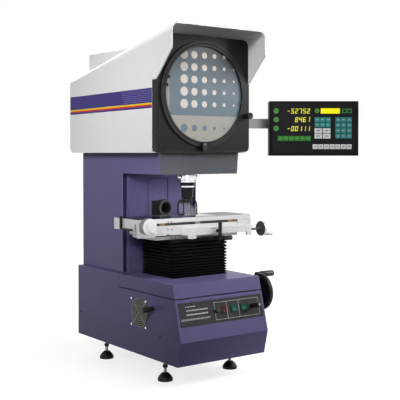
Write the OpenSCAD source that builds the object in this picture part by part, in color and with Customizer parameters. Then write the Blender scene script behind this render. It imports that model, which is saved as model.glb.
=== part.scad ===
// Optical comparator: bench profile projector with a 300 mm screen.
// Millimetres. X right, Y to the back, Z up; the origin is the centre of
// the four foot pads on the bench.

/* [Base] */
// Width of the base casing
base_w = 338; // [330:1:350]
// Height of the deck above the bench
base_z1 = 313; // [308:1:318]
// Clear height under the base
base_z0 = 70; // [62:1:76]
// Sheet thickness of the casing
base_wall = 5; // [4:0.5:6]
// Height of the joint line round the front deck
groove_z = 268; // [264:1:272]
// Open width of the joint line
groove_gap = 3; // [2:0.5:4]
// Distance of the feet from the sides
foot_in = 41; // [36:1:50]
// Half spacing of the feet front to back
foot_y = 181; // [170:1:190]
// Radius of one foot pad
foot_r = 24; // [20:1:28]

/* [Control panel] */
// Margin at each end of the sloped panel
panel_side = 8; // [6:1:11]
// Thickness of the sloped panel
panel_t = 3; // [2:0.5:4]
// Width of a lamp rocker
rocker_w = 19; // [16:1:22]
// Width of the power rocker
power_w = 11; // [9:1:14]
// Height of the rockers
rocker_h = 19; // [17:1:21]
// Radius of the brightness knob
bright_r = 8; // [6:0.5:10]

/* [Cooling fan] */
// Side of the square fan
fan_side = 92; // [88:1:94]
// Spacing of the fan screws
fan_pitch = 82.5; // [80:0.5:83]
// Depth of the fan frame
fan_t = 25; // [20:1:30]

/* [Column and neck] */
// Width of the column
col_w = 301; // [296:1:306]
// Height of the underside of the head
col_z1 = 709; // [704:1:714]
// Thickness of the column walls
col_wall = 6; // [5:0.5:7]
// Slope of each neck side, top to bottom
neck_slope = 5; // [3:0.5:7]
// Height of the underside of the neck
neck_z0 = 641; // [638:1:645]

/* [Head] */
// Width of the head
head_w = 366; // [362:1:370]
// Height of the hood lip above the screen ring
hood_up = 37; // [32:1:42]
// Sheet thickness of the head
head_wall = 4; // [3:0.5:5]
// Rounding of the roof edges
roof_r = 24; // [18:1:30]

/* [Screen] */
// Margin between the screen ring and the sides of the head
ring_side = 16; // [15:1:19]
// Width of the rim of the screen ring
ring_rim = 17; // [15:0.5:19]
// Thickness of the screen glass
glass_t = 5; // [4:0.5:6]
// Radius of the screen knob
knob_r = 10.5; // [9:0.5:12]

/* [Stage] */
// Length of the table
table_l = 442; // [436:2:446]
// Depth of the table
table_d = 147; // [143:1:149]
// Height of the table top
table_z = 503.5; // [502:0.5:505]
// Thickness of the table plate
plate_t = 14; // [12:1:15]
// Length of the stage glass
sglass_l = 196; // [180:2:204]
// Depth of the stage glass
sglass_d = 96; // [90:1:100]
// Radius of the two small handwheels
wheel_r = 25; // [22:1:26]

/* [Focus drive] */
// Radius of the focus handwheel
zwheel_r = 60; // [56:1:64]
// Width of the bellows
bel_w = 222; // [214:2:228]
// Depth of the bellows
bel_d = 184; // [176:2:186]

/* [Display box] */
// Width of the display box
dro_w = 306; // [298:2:314]
// Height of the display box
dro_h = 187; // [182:1:192]
// Depth of the display box
dro_t = 60; // [54:1:66]

/* [Fits] */
// Radial play of shafts and other turning fits
run_fit = 0.05; // [0.03:0.01:0.08]
// Play between flat sliding or turning faces
slide_fit = 0.5; // [0.4:0.05:0.6]

/* [Hidden] */
$fn = 64;
eps = 0.01;
base_yb = 309;
top_y = -281;
groove_y = -292.5;
nose_y = -324.5;
nose_z = 144.6;
bot_y = -306.7;
split_y = 33;
slope_a = atan2(groove_y - nose_y, groove_z - nose_z);
base_x = base_w / 2;
wall_x = base_x - base_wall;
foot_x = base_x - foot_in;
panel_w = base_w - 2 * panel_side;
neck_w1 = col_w + 6;
neck_w0 = neck_w1 - 2 * neck_slope;
col_y0 = 38;
col_y1 = 308;
neck_y0 = -193;
nplate_t = 6;
obj_y = -120;
head_y1 = 341;
hood_y = -297;
plate_y0 = -213;
plate_y1 = -191;
plate_z0 = col_z1 + 3;
ring_r = head_w / 2 - ring_side;
screen_r = ring_r - ring_rim;
screen_z = plate_z0 + ring_r + 15;
cheek_z = screen_z + 39;
head_z1 = screen_z + 75;
head_r = 24;
hood_z = screen_z + ring_r + hood_up;
hood_z0 = hood_z - 79;
roof_a = atan2(hood_z - head_z1, head_y1 - hood_y);
table_y0 = -175;
table_x = table_l / 2;
plate_z = table_z - plate_t;
lift_x = 15;
lift_y = -84;
lift_w = 140;
lift_d = 130;
lift_z0 = 165;
guide_z0 = 180;
guide_wall = 15;
sbase_z0 = 435;
sbase_z1 = 447;
saddle_z1 = 481;
pleats = 11;
panel_s = 46;
panel_h = 72;
panel_sink = 2.5;
ledge = 12;
switch_s = 45;
rocker_xs = [4.8, 46.4, 86];
rocker_ws = [power_w, rocker_w, rocker_w];
rocker_lean = 6;
bright_x = 118;
bright_l = 41;
fuse_x = -21;
screw_r = 2;
screw_head_r = 3.6;
screw_head_t = 2.4;
fan_y = -96;
fan_z = 203;
fan_hole_r = 43;
wire_r = 1.2;
lamp_y = -178.5;
lamp_z = 228;
lamp_r = 7.5;
lamp_knob_r = 9;
inlet_x = base_x - 79;
inlet_z = 130;
zwheel_y = -253;
zwheel_z = 256;
zshaft_r = 6;
zcrank_y = 12;
zcrank_z = 54;
guide_x1 = lift_x + lift_w / 2 + guide_wall;
floor_t = 14;
stud_r = 5;
nut_r = 9;
nut_t = 9;
nut_z = 41;
pivot_r = 1.2;
pivot_z = -2;
bezel = 3;

module box(x0, x1, y0, y1, z0, z1) {
  translate([x0, y0, z0]) cube([x1 - x0, y1 - y0, z1 - z0]);
}
module side(pts, w) {
  translate([-w / 2, 0, 0]) rotate([90, 0, 90]) linear_extrude(w) polygon(pts);
}
module front(y0, y1) {
  translate([0, y1, 0]) rotate([90, 0, 0]) linear_extrude(y1 - y0) children();
}
module rod_x(x0, x1, y, z, r) {
  translate([x0, y, z]) rotate([0, 90, 0]) cylinder(h = x1 - x0, r = r);
}
module rod_y(y0, y1, x, z, r) {
  translate([x, y0, z]) rotate([-90, 0, 0]) cylinder(h = y1 - y0, r = r);
}
module rod_z(z0, z1, x, y, r) {
  translate([x, y, z0]) cylinder(h = z1 - z0, r = r);
}
// Flat rectangle with round corners
module rrect(w, h, r) {
  square([w - 2 * r, h], center = true);
  square([w, h - 2 * r], center = true);
  for (sx = [-1, 1], sy = [-1, 1])
    translate([sx * (w / 2 - r), sy * (h / 2 - r)]) circle(r);
}
// A place on the sloped front: z points out of the slope, y up along it
module on_slope(x, s) {
  translate([x, groove_y - s * sin(slope_a), groove_z - s * cos(slope_a)])
    rotate([90 - slope_a, 0, 0]) children();
}
// Side outline of the casing, moved in by t
function base_pts(t, zt, zb) = [
  [base_yb - t, base_z0 - zb],
  [base_yb - t, base_z1 - zt],
  [split_y + t, base_z1 - zt],
  [split_y + t, groove_z - zt],
  [groove_y + t, groove_z - zt],
  [nose_y + t * 1.05, nose_z],
  [bot_y + t, base_z0 - zb]
];
module foot_places() {
  for (sx = [-1, 1], sy = [-1, 1]) translate([sx * foot_x, sy * foot_y, 0]) children();
}

// Casing: sheet walls, closed top, bosses for the feet, bearing for the focus shaft
module base_casing() {
  color("slateblue") difference() {
    union() {
      difference() {
        side(base_pts(0, 0, 0), base_w);
        side(base_pts(base_wall, base_wall, 1), base_w - 2 * base_wall);
      }
      // Plinth inside the joint line
      difference() {
        box(-base_x + 8, base_x - 8, groove_y + 14, split_y + base_wall,
          groove_z - base_wall, groove_z + groove_gap);
        box(-base_x + 14, base_x - 14, groove_y + 20, split_y - 1,
          groove_z - 2 * base_wall, groove_z + 2 * groove_gap);
      }
      rod_x(wall_x - 8, base_x + 4, zwheel_y, zwheel_z, 11);
      rod_x(-base_x - 3, -wall_x + 6, lamp_y, lamp_z, lamp_r + 4);
    }
    lift_hole(10, groove_z - 20, groove_z + 20);
    rod_x(wall_x - 20, base_x + 20, zwheel_y, zwheel_z, zshaft_r + run_fit);
    rod_x(-base_x - 20, -wall_x + 20, lamp_y, lamp_z, lamp_r + run_fit);
    rod_x(-base_x - 1, -wall_x + 1, fan_y, fan_z, fan_hole_r);
    fan_corners() rod_x(-base_x - 1, -wall_x + 1, 0, 0, screw_r + run_fit);
    side_places() rod_x(-base_x - 1, -wall_x + 1, 0, 0, screw_r + run_fit);
    on_slope(0, panel_s) {
      translate([-panel_w / 2, -panel_h / 2, -panel_sink]) cube([panel_w, panel_h, 20]);
      translate([-panel_w / 2 + ledge, -panel_h / 2 + ledge, -20])
        cube([panel_w - 2 * ledge, panel_h - 2 * ledge, 30]);
    }
    panel_places() translate([0, 0, -20]) cylinder(h = 30, r = screw_r + run_fit);
    translate([inlet_x, base_yb - 20, inlet_z]) cube([46, 30, 26]);
  }
}
module lift_hole(gap, z0, z1) {
  w = lift_w / 2 + gap;
  d = lift_d / 2 + gap;
  box(lift_x - w, lift_x + w, lift_y - d, lift_y + d, z0, z1);
}
module fan_corners() {
  for (sy = [-1, 1], sz = [-1, 1])
    translate([0, fan_y + sy * fan_pitch / 2, fan_z + sz * fan_pitch / 2]) children();
}
module side_places() {
  translate([0, -213.5, 148]) children();
  translate([0, 291, 149]) children();
}
module panel_places() {
  for (sx = [-1, 0, 1], ss = [-1, 1])
    on_slope(sx * (panel_w / 2 - 6), panel_s + ss * (panel_h / 2 - 4.5)) children();
}
// Front deck lid over the joint line, open below
module deck_cover() {
  lid_z0 = groove_z + groove_gap;
  lid_y0 = groove_y + (top_y - groove_y) * groove_gap / (base_z1 - groove_z);
  color("slateblue") difference() {
    side([
      [split_y - slide_fit, lid_z0], [split_y - slide_fit, base_z1], [top_y, base_z1], [lid_y0, lid_z0]
    ], base_w);
    side([
      [split_y - 6, lid_z0 - 1], [split_y - 6, base_z1 - base_wall],
      [top_y + base_wall, base_z1 - base_wall], [lid_y0 + 22, lid_z0 - 1]
    ], base_w - 44);
    lift_hole(10, base_z1 - 20, base_z1 + 1);
  }
}
// Cast bottom plate that carries the feet
module floor_plate() {
  color("dimgray") difference() {
    box(-wall_x, wall_x, bot_y + base_wall, base_yb - base_wall, base_z0, base_z0 + floor_t);
    foot_places() translate([0, 0, base_z0 - 1]) cylinder(h = floor_t + 2, r = stud_r);
  }
}
module levelling_feet() {
  color("black") foot_places() {
    rotate_extrude() polygon([
      [0, 0], [foot_r, 0], [foot_r, 7], [foot_r - 3, 13], [foot_r - 9, 20], [9, 25], [stud_r, 26],
      [stud_r, base_z0 + floor_t + 8], [0, base_z0 + floor_t + 8]
    ]);
    translate([0, 0, nut_z]) cylinder(h = nut_t, r = nut_r, $fn = 6);
  }
}
module control_panel() {
  color("dimgray") difference() {
    on_slope(0, panel_s) translate([-panel_w / 2 + slide_fit, -panel_h / 2 + slide_fit, -panel_sink])
      cube([panel_w - 2 * slide_fit, panel_h - 2 * slide_fit, panel_t]);
    for (k = [0:2])
      on_slope(rocker_xs[k], switch_s) translate([-rocker_ws[k] / 2 - 2, -rocker_h / 2 - 2, -20])
        cube([rocker_ws[k] + 4, rocker_h + 4, 40]);
    on_slope(bright_x, switch_s) translate([0, 0, -20]) cylinder(h = 40, r = 3 + run_fit);
    on_slope(fuse_x, switch_s) translate([0, 0, -20]) cylinder(h = 40, r = 5);
    panel_places() translate([0, 0, -20]) cylinder(h = 40, r = screw_r + run_fit);
  }
}
panel_top = panel_t - panel_sink;
// Switch bodies: bezel outside, box behind the panel
module switch_bodies() {
  color("black") for (k = [0:2]) on_slope(rocker_xs[k], switch_s) switch_body(rocker_ws[k]);
}
module switch_body(w) {
  difference() {
    union() {
      translate([-w / 2 - bezel, -rocker_h / 2 - bezel, panel_top])
        cube([w + 2 * bezel, rocker_h + 2 * bezel, 2]);
      translate([-w / 2 - 2, -rocker_h / 2 - 2, -18]) cube([w + 4, rocker_h + 4, 18 + panel_top + 1]);
    }
    translate([-w / 2, -rocker_h / 2, -8]) cube([w, rocker_h, 20]);
    rod_x(-w / 2 - 1.5, w / 2 + 1.5, 0, pivot_z, pivot_r + run_fit);
  }
}
// Rocker with its two pivot stubs
module rocker(k) {
  half = rocker_h / 2 - 0.8;
  w = rocker_ws[k];
  on_slope(rocker_xs[k], switch_s) translate([0, 0, pivot_z]) rotate([-rocker_lean, 0, 0])
    translate([0, 0, -pivot_z]) {
      rod_x(-w / 2 - 1.2, w / 2 + 1.2, 0, pivot_z, pivot_r);
      translate([-w / 2 + slide_fit, 0, 0]) rotate([90, 0, 90]) linear_extrude(w - 2 * slide_fit)
        polygon([[-half, -4.5], [half, -4.5], [half, 4.6], [0, 2.6], [-half, 4.6]]);
    }
}
module power_rocker() {
  color("firebrick") rocker(0);
}
module contour_rocker() {
  color("limegreen") rocker(1);
}
module surface_rocker() {
  color("limegreen") rocker(2);
}
module brightness_knob() {
  color("black") on_slope(bright_x, switch_s) {
    translate([0, 0, panel_top + slide_fit]) cylinder(h = bright_l, r = bright_r);
    translate([0, 0, -16]) cylinder(h = 20, r = 3);
  }
}
module fuse_cap() {
  color("black") on_slope(fuse_x, switch_s) {
    translate([0, 0, panel_top]) cylinder(h = 7, r = 7);
    translate([0, 0, -22]) cylinder(h = 24, r = 5);
  }
}
// Pan-head screw along +z, head above the seat
module screw(len) {
  cylinder(h = screw_head_t, r = screw_head_r);
  translate([0, 0, -len]) cylinder(h = len, r = screw_r);
}
module plate_places() {
  for (sx = [-1, 1], z = [plate_z0 + 20, roof(plate_y0) - 17])
    translate([sx * (head_w / 2 - 17), plate_y0, z]) rotate([90, 0, 0]) children();
}
module m4_screws() {
  color("silver") {
    panel_places() translate([0, 0, panel_top]) screw(6);
    fan_corners() translate([-base_x - 2 * wire_r, 0, 0]) rotate([0, -90, 0]) screw(12);
    side_places() translate([-base_x, 0, 0]) rotate([0, -90, 0]) screw(4);
    plate_places() screw(plate_y1 - plate_y0);
  }
}
// Square fan frame with its motor seat
module fan_frame() {
  x0 = -wall_x;
  color("black") difference() {
    union() {
      difference() {
        translate([x0, fan_y - fan_side / 2, fan_z - fan_side / 2]) cube([fan_t, fan_side, fan_side]);
        rod_x(x0 - 1, x0 + fan_t + 1, fan_y, fan_z, fan_hole_r);
      }
      rod_x(x0 + fan_t - 4, x0 + fan_t, fan_y, fan_z, 17);
      for (a = [45, 135])
        translate([x0 + fan_t - 4, fan_y, fan_z]) rotate([a, 0, 0])
          translate([0, -fan_hole_r - 3, -2.5]) cube([4, 2 * fan_hole_r + 6, 5]);
      rod_x(x0 + 9, x0 + fan_t - 2, fan_y, fan_z, 3);
    }
    fan_corners() rod_x(x0 - 1, x0 + fan_t + 1, 0, 0, screw_r);
  }
}
module fan_rotor() {
  x0 = -wall_x;
  color("black") difference() {
    union() {
      rod_x(x0 + 4, x0 + fan_t - 5, fan_y, fan_z, 17);
      for (k = [0:6])
        translate([x0 + 12, fan_y, fan_z]) rotate([k * 360 / 7, 0, 0])
          translate([0, 0, 15]) rotate([0, 0, 40]) translate([-1, -11, 0]) cube([2, 22, fan_hole_r - 18]);
    }
    rod_x(x0 + 8.5, x0 + fan_t + 1, fan_y, fan_z, 3 + run_fit);
  }
}
// Guard: wire rings, two cross bars and four screw eyes
module fan_guard() {
  x0 = -base_x - 2 * wire_r;
  color("black") difference() {
    union() {
      for (r = [12:6.4:44]) difference() {
        rod_x(x0, -base_x, fan_y, fan_z, r + wire_r);
        rod_x(x0 - 1, -base_x + 1, fan_y, fan_z, r - wire_r);
      }
      for (a = [45, 135])
        translate([x0 + wire_r / 4, fan_y, fan_z]) rotate([a, 0, 0])
          translate([0, -fan_pitch * 0.707 + 3.5, -wire_r])
            cube([wire_r * 1.5, fan_pitch * 1.414 - 7, 2 * wire_r]);
      fan_corners() rod_x(x0, -base_x, 0, 0, 5);
    }
    fan_corners() rod_x(-base_x - 6, -base_x + 6, 0, 0, screw_r);
  }
}
// Push rod with a knob that shifts the condenser
module lamp_knob() {
  color("black") {
    rod_x(-base_x - 44, -base_x - 19, lamp_y, lamp_z, lamp_knob_r);
    rod_x(-base_x - 20, -base_x + 66, lamp_y, lamp_z, lamp_r);
  }
}
// Mains inlet with three pins
module mains_inlet() {
  color("black") translate([inlet_x, base_yb, inlet_z]) {
    difference() {
      union() {
        translate([0, -18, 0]) cube([46, 18 + eps, 26]);
        translate([-5, 0, -3]) cube([56, 2.5, 32]);
      }
      translate([11, -14, 4]) cube([24, 20, 18]);
    }
    for (p = [[16, 10], [30, 10], [23, 16]])
      translate([p[0] - 1, -15, p[1] - 2]) cube([2, 12, 4]);
  }
}
// Focus handwheel: rim, web, hub, crank ear and shaft
module z_handwheel() {
  x = base_x + 30;
  color("black") difference() {
    union() {
      translate([x, zwheel_y, zwheel_z]) rotate([0, 90, 0])
        rotate_extrude() translate([zwheel_r - 7, 0]) circle(7);
      rod_x(x - 4, x + 3, zwheel_y, zwheel_z, zwheel_r - 7);
      rod_x(base_x + 4 + slide_fit, x + 10, zwheel_y, zwheel_z, 15);
      rod_x(guide_x1 - 12, x, zwheel_y, zwheel_z, zshaft_r);
      rod_x(x - 9, x + 9, zwheel_y + zcrank_y, zwheel_z + zcrank_z, 9);
    }
    rod_x(x - 20, x + 20, zwheel_y + zcrank_y, zwheel_z + zcrank_z, 4 + run_fit);
  }
}
module z_handle() {
  x = base_x + 30;
  color("black") {
    rod_x(x + 9 + slide_fit, x + 62, zwheel_y + zcrank_y, zwheel_z + zcrank_z, 10);
    rod_x(x - 12, x + 12, zwheel_y + zcrank_y, zwheel_z + zcrank_z, 4);
    rod_x(x - 12.5, x - 9 - slide_fit, zwheel_y + zcrank_y, zwheel_z + zcrank_z, 6);
  }
}
// Lamp house with its condenser barrel
module lamp_house() {
  color("gray") difference() {
    union() {
      box(-60, 60, 60, 200, base_z0 + floor_t, 200);
      rod_y(0, 61, 0, 140, 30);
    }
    box(-55, 55, 65, 195, base_z0 + floor_t + 5, 195);
    rod_y(-30, 70, 0, 140, 25);
  }
}
module lift_guide() {
  color("gray") difference() {
    union() {
      box(guide_x1 - 14, guide_x1, zwheel_y - 16, lift_y, zwheel_z - 16, groove_z - base_wall);
      lift_hole(guide_wall, guide_z0, groove_z - base_wall);
    }
    lift_hole(slide_fit, guide_z0 - 1, groove_z);
    rod_x(guide_x1 - 13, guide_x1 + 1, zwheel_y, zwheel_z, zshaft_r + run_fit);
  }
}
strip_x = col_w / 2 - 29.5;
strip_y = 56;
cpanel_y = 44;
cover_t = 9;
cover_x0 = -44;
cover_x1 = 25;
cover_z0 = 495;
cover_z1 = 620;
surf_z = 524;
surf_r = 25;
module column_shell() {
  color("slateblue") difference() {
    box(-col_w / 2, col_w / 2, col_y0, col_y1, base_z1, col_z1);
    box(-col_w / 2 + col_wall, col_w / 2 - col_wall, col_y0 - 1, col_y1 - col_wall,
      base_z1 - 1, col_z1 + 1);
  }
}
// Front panel with a set-back strip at each side
module column_panel() {
  color("slateblue") difference() {
    union() {
      box(-strip_x, strip_x, cpanel_y, cpanel_y + 4, base_z1, neck_z0);
      for (s = [-1, 1]) {
        box(s * strip_x - 2, s * strip_x + 2, cpanel_y, strip_y + 4, base_z1, neck_z0);
        box(min(s * strip_x, s * (col_w / 2 - col_wall)), max(s * strip_x, s * (col_w / 2 - col_wall)),
          strip_y, strip_y + 4, base_z1, neck_z0);
      }
    }
    rod_y(cpanel_y - 5, cpanel_y + 10, 0, surf_z, surf_r - 5);
  }
}
module cover_plate() {
  color("slateblue") difference() {
    box(cover_x0, cover_x1, cpanel_y - cover_t, cpanel_y, cover_z0, cover_z1);
    rod_y(cpanel_y - cover_t - 1, cpanel_y + 10, 0, surf_z, surf_r - 5);
  }
}
// Focusing tube of the surface light, turning in the panel
module surface_tube() {
  color("black") difference() {
    union() {
      rod_y(5, cpanel_y - cover_t - slide_fit, 0, surf_z, surf_r);
      rod_y(14, cpanel_y - cover_t - slide_fit, 0, surf_z, surf_r + 3);
      rod_y(20, cpanel_y + 22, 0, surf_z, surf_r - 5 - run_fit);
    }
    rod_y(4, cpanel_y + 30, 0, surf_z, surf_r - 8);
  }
}
function trap(t, z0, z1) = [
  [-neck_w0 / 2 + t, z0], [neck_w0 / 2 - t, z0], [neck_w1 / 2 - t, z1], [-neck_w1 / 2 + t, z1]
];
obj_bore = 21;
module neck_shell() {
  color("slateblue") difference() {
    front(neck_y0 + nplate_t, col_y0) polygon(trap(0, neck_z0, col_z1));
    front(neck_y0 + nplate_t + 8, col_y0 + 1) polygon(trap(5, neck_z0 + 8, col_z1 + 1));
    rod_z(neck_z0 - 1, neck_z0 + 20, 0, obj_y, obj_bore);
  }
}
module neck_plate() {
  color("lightslategray") front(neck_y0, neck_y0 + nplate_t) polygon(trap(0, neck_z0, col_z1));
}
// Objective mount under the neck
module objective_mount() {
  color("silver") difference() {
    union() {
      rod_z(622, neck_z0, 0, obj_y, 27);
      rod_z(neck_z0 - 1, neck_z0 + 8, 0, obj_y, obj_bore);
    }
    rod_z(600, 720, 0, obj_y, 18);
    thumb_places() rod_x(10, 30, 0, 0, 2);
  }
}
module thumb_places() {
  for (a = [0, 180]) translate([0, obj_y, 631]) rotate([0, 0, a]) children();
}
module thumb_screws() {
  color("silver") thumb_places() {
    rod_x(19, 28, 0, 0, 2);
    rod_x(28, 37, 0, 0, 6.5);
  }
}
module objective_barrel() {
  color("black") difference() {
    union() {
      rod_z(622 - eps, 640, 0, obj_y, 18);
      rod_z(611, 622, 0, obj_y, 25.5);
      rod_z(603, 611, 0, obj_y, 22);
      rod_z(597, 603, 0, obj_y, 23);
      rod_z(564, 597, 0, obj_y, 19);
      rod_z(548, 564, 0, obj_y, 14.7);
    }
    rod_z(540, 700, 0, obj_y, 12);
  }
}
module objective_lens() {
  color("lightblue") rod_z(550, 556, 0, obj_y, 12);
}
mir_x = 26;
mir_y = 14;
mir_z0 = 507;
mir_z1 = 558;
// Clip-on holder of the half mirror: collar, bridge and two bows
module mirror_frame() {
  color("black") difference() {
    union() {
      rod_z(mir_z1 - 8, mir_z1, 0, obj_y, 17.5);
      box(-mir_x - 1.5, mir_x + 1.5, obj_y - 5, obj_y + 5, mir_z1 - 5, mir_z1 - 2);
      for (s = [-1, 1])
        translate([s * mir_x, 0, 0]) difference() {
          arch(1.5, mir_y + 4, mir_z0);
          arch(3, mir_y, mir_z0 + 4);
        }
    }
    rod_z(mir_z0, mir_z1 + 5, 0, obj_y, 14.7);
  }
}
// Upright bow: straight legs with a round top
module arch(t, r, z0) {
  top = mir_z1 - 2 - mir_y - 4;
  box(-t, t, obj_y - r, obj_y + r, z0, top);
  rod_x(-t, t, obj_y, top, r);
}
module half_mirror() {
  color("lightcyan") intersection() {
    box(-mir_x + 1.5, mir_x - 1.5, obj_y - mir_y - 4, obj_y + mir_y + 4, mir_z0, mir_z1 - 9);
    translate([0, obj_y, (mir_z0 + mir_z1) / 2 - 6]) rotate([45, 0, 0])
      cube([2 * mir_x, 60, 2], center = true);
  }
}
function roof(y) = head_z1 + (head_y1 - y) * tan(roof_a);
// Lower back corner of the head, moved in by t
function heel(t) = [
  for (a = [0:15:90])
    [head_y1 - head_r + (head_r - t) * cos(a), col_z1 + head_r - (head_r - t) * sin(a)]
];
module roof_prism(w, r, drop) {
  translate([0, head_y1, head_z1]) rotate([-roof_a, 0, 0]) translate([0, 0, -drop]) front(-800, 100) {
    translate([-w / 2, -600]) square([w, 600 - r]);
    translate([-w / 2 + r, -600]) square([w - 2 * r, 600]);
    for (s = [-1, 1]) translate([s * (w / 2 - r), -r]) circle(r);
  }
}
// Head: folded housing with a hood that flares out over the screen
module head_housing() {
  color("gainsboro") difference() {
    intersection() {
      side(concat([
        [plate_y1, col_z1], [plate_y1, cheek_z], [plate_y0, cheek_z], [hood_y, hood_z0],
        [hood_y, hood_z], [head_y1, head_z1]
      ], heel(0)), head_w);
      roof_prism(head_w, roof_r, 0);
    }
    intersection() {
      side(concat([
        [hood_y - 20, col_z1 + head_wall], [hood_y - 20, hood_z + 50], [head_y1 - head_wall, hood_z + 50]
      ], heel(head_wall)), head_w - 2 * head_wall);
      roof_prism(head_w - 2 * head_wall, roof_r - head_wall, head_wall);
    }
    box(-100, 100, -170, 0, col_z1 - 10, col_z1 + 10);
    box(-110, 110, 0, 240, head_z1 - 20, hood_z + 5);
    bracket_bolts();
  }
}
bump_x = 140;
bump_y1 = 280;
bump_z = hood_z - 45;
bump_y0 = head_y1 - (bump_z - head_z1) / tan(roof_a);
// Raised cover over the upper mirror
module mirror_cover() {
  color("gainsboro") difference() {
    side([[bump_y1, roof(bump_y1)], [bump_y1, bump_z], [bump_y0, bump_z]], 2 * bump_x);
    side([
      [bump_y1 - 4, roof(bump_y1) - 1], [bump_y1 - 4, bump_z - 4],
      [bump_y0 + 50, bump_z - 4], [bump_y0 + 50, roof(bump_y0 + 50) - 1]
    ], 2 * bump_x - 8);
  }
}
module relay_mirror() {
  color("lightcyan") side([
    [head_y1 - head_wall, screen_z - 124], [head_y1 - head_wall, screen_z + 36],
    [head_y1 - 23, screen_z + 36], [head_y1 - 41, screen_z - 124]
  ], head_w - 126);
}
module ring_bore(y0, y1, r) {
  rod_y(y0, y1, 0, screen_z, r);
}
knob_x = head_w / 2 - 18;
knob_z = screen_z - 65;
drive_gap = 0.4;
roller_r = sqrt(pow(knob_x, 2) + pow(screen_z - knob_z, 2)) - ring_r - drive_gap;
roller_y0 = plate_y0 + 5;
roller_y1 = -200;
module face_plate() {
  w = head_w - 1;
  wi = head_w - 2 * head_wall - 2 * slide_fit;
  color("black") difference() {
    union() {
      front(plate_y0, plate_y1) {
        translate([0, (plate_z0 + cheek_z) / 2]) rrect(w, cheek_z - plate_z0, 16);
        translate([-w / 2, cheek_z - 60]) square([w, 60 - slide_fit]);
      }
      intersection() {
        box(-wi / 2, wi / 2, plate_y0, plate_y1, cheek_z - 2, hood_z);
        roof_prism(wi, roof_r - head_wall, head_wall + slide_fit);
      }
    }
    ring_bore(plate_y0 - 1, ring_y1, ring_r + slide_fit);
    ring_bore(plate_y0 - 1, plate_y1 + 1, screen_r + 2);
    rod_y(plate_y0 - 1, plate_y1 + 1, knob_x, knob_z, 4 + run_fit);
    rod_y(roller_y0 - slide_fit, plate_y1 + 1, knob_x, knob_z, roller_r + slide_fit);
    plate_places() translate([0, 0, -40]) cylinder(h = 60, r = screw_r);
  }
}
ring_y0 = -219;
ring_y1 = -199;
glass_y = -212;
module screen_ring() {
  color("black") difference() {
    ring_bore(ring_y0, ring_y1 - slide_fit, ring_r);
    ring_bore(ring_y0 - 1, 0, screen_r);
    ring_bore(glass_y, 0, screen_r + 4);
  }
}
module screen_glass() {
  color("lightsteelblue") ring_bore(glass_y, glass_y + glass_t, screen_r + 4);
}
clip_t = 2;
lip_y = ring_y0 - clip_t - slide_fit;
module chart_clips() {
  color("black") for (a = [161, 171, 351])
    translate([0, 0, screen_z]) rotate([0, -a, 0])
      box(screen_r - 6, screen_r + 11, ring_y0 - clip_t, ring_y0, -5, 5);
}
// Screen knob with the friction roller that turns the ring by its rim
module screen_knob() {
  color("black") {
    rod_y(plate_y0 - 30, lip_y, knob_x, knob_z, knob_r);
    rod_y(lip_y - 1, roller_y1, knob_x, knob_z, 4);
    rod_y(roller_y0, roller_y1, knob_x, knob_z, roller_r);
  }
}
// Index block whose lip stands in front of the ring, clear of the clips that pass behind it
module vernier_block() {
  ring_z = screen_z - ring_r - slide_fit;
  color("dimgray") {
    box(-17, 17, lip_y - 7, plate_y0, plate_z0 + 1, ring_z);
    box(-17, 17, lip_y - 7, lip_y, plate_z0 + 1, ring_z + 15);
  }
}
dro_x = head_w / 2 + 128;
dro_y = -166;
dro_z0 = screen_z - 195;
dro_turn = -36.3;
arm_h = 34;
arm_z = screen_z - 100;
pin_r = 5;
hub_r = 11;
head_pin = [head_w / 2 + 25, -30];
case_pin = [60, 82];
ear_gap = 0.3;
module at_dro() {
  translate([dro_x, dro_y, 0]) rotate([0, 0, dro_turn]) children();
}
dro_pin = [
  dro_x + case_pin[0] * cos(dro_turn) - case_pin[1] * sin(dro_turn),
  dro_y + case_pin[0] * sin(dro_turn) + case_pin[1] * cos(dro_turn)
];
module bracket_bolts() {
  for (z = [arm_z - 8, arm_z + arm_h + 8])
    rod_x(head_w / 2 - 20, head_w / 2 + 1, head_pin[1] + 30, z, 3);
}
// Two ears and a pin for a flat arm
module fork(x0, x1, y0, y1, p) {
  for (z = [arm_z - 8 - ear_gap, arm_z + arm_h + ear_gap])
    union() {
      box(x0, x1, y0, y1, z, z + 8);
      rod_z(z, z + 8, p[0], p[1], hub_r);
    }
  rod_z(arm_z - 8, arm_z + arm_h + 8, p[0], p[1], pin_r);
}
module dro_bracket() {
  color("silver") {
    box(head_w / 2, head_w / 2 + 6, head_pin[1] - 25, head_pin[1] + 45,
      arm_z - 18, arm_z + arm_h + 18);
    fork(head_w / 2, head_pin[0], head_pin[1] - hub_r, head_pin[1] + hub_r, head_pin);
    bracket_bolts();
  }
}
// Flat arm with a hub at each end
module dro_arm() {
  dx = dro_pin[0] - head_pin[0];
  dy = dro_pin[1] - head_pin[1];
  len = sqrt(dx * dx + dy * dy);
  color("silver") difference() {
    union() {
      translate([head_pin[0], head_pin[1], arm_z]) rotate([0, 0, atan2(dy, dx)])
        translate([0, -3.5, 0]) cube([len, 7, arm_h]);
      for (p = [head_pin, dro_pin]) rod_z(arm_z, arm_z + arm_h, p[0], p[1], hub_r);
    }
    for (p = [head_pin, dro_pin]) rod_z(arm_z - 1, arm_z + arm_h + 1, p[0], p[1], pin_r + run_fit);
  }
}
module dro_case() {
  color("black") at_dro() {
    difference() {
      translate([0, 2, dro_z0]) cube([dro_w, dro_t - 2, dro_h]);
      translate([5, 0, dro_z0 + 5]) cube([dro_w - 10, 5, dro_h - 10]);
      translate([8, 4, dro_z0 + 8]) cube([dro_w - 16, dro_t - 8, dro_h - 16]);
    }
    translate([case_pin[0] - 20, dro_t, arm_z - 18]) cube([40, 5, arm_h + 36]);
    fork(case_pin[0] - hub_r, case_pin[0] + hub_r, dro_t, case_pin[1], case_pin);
  }
}
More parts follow.
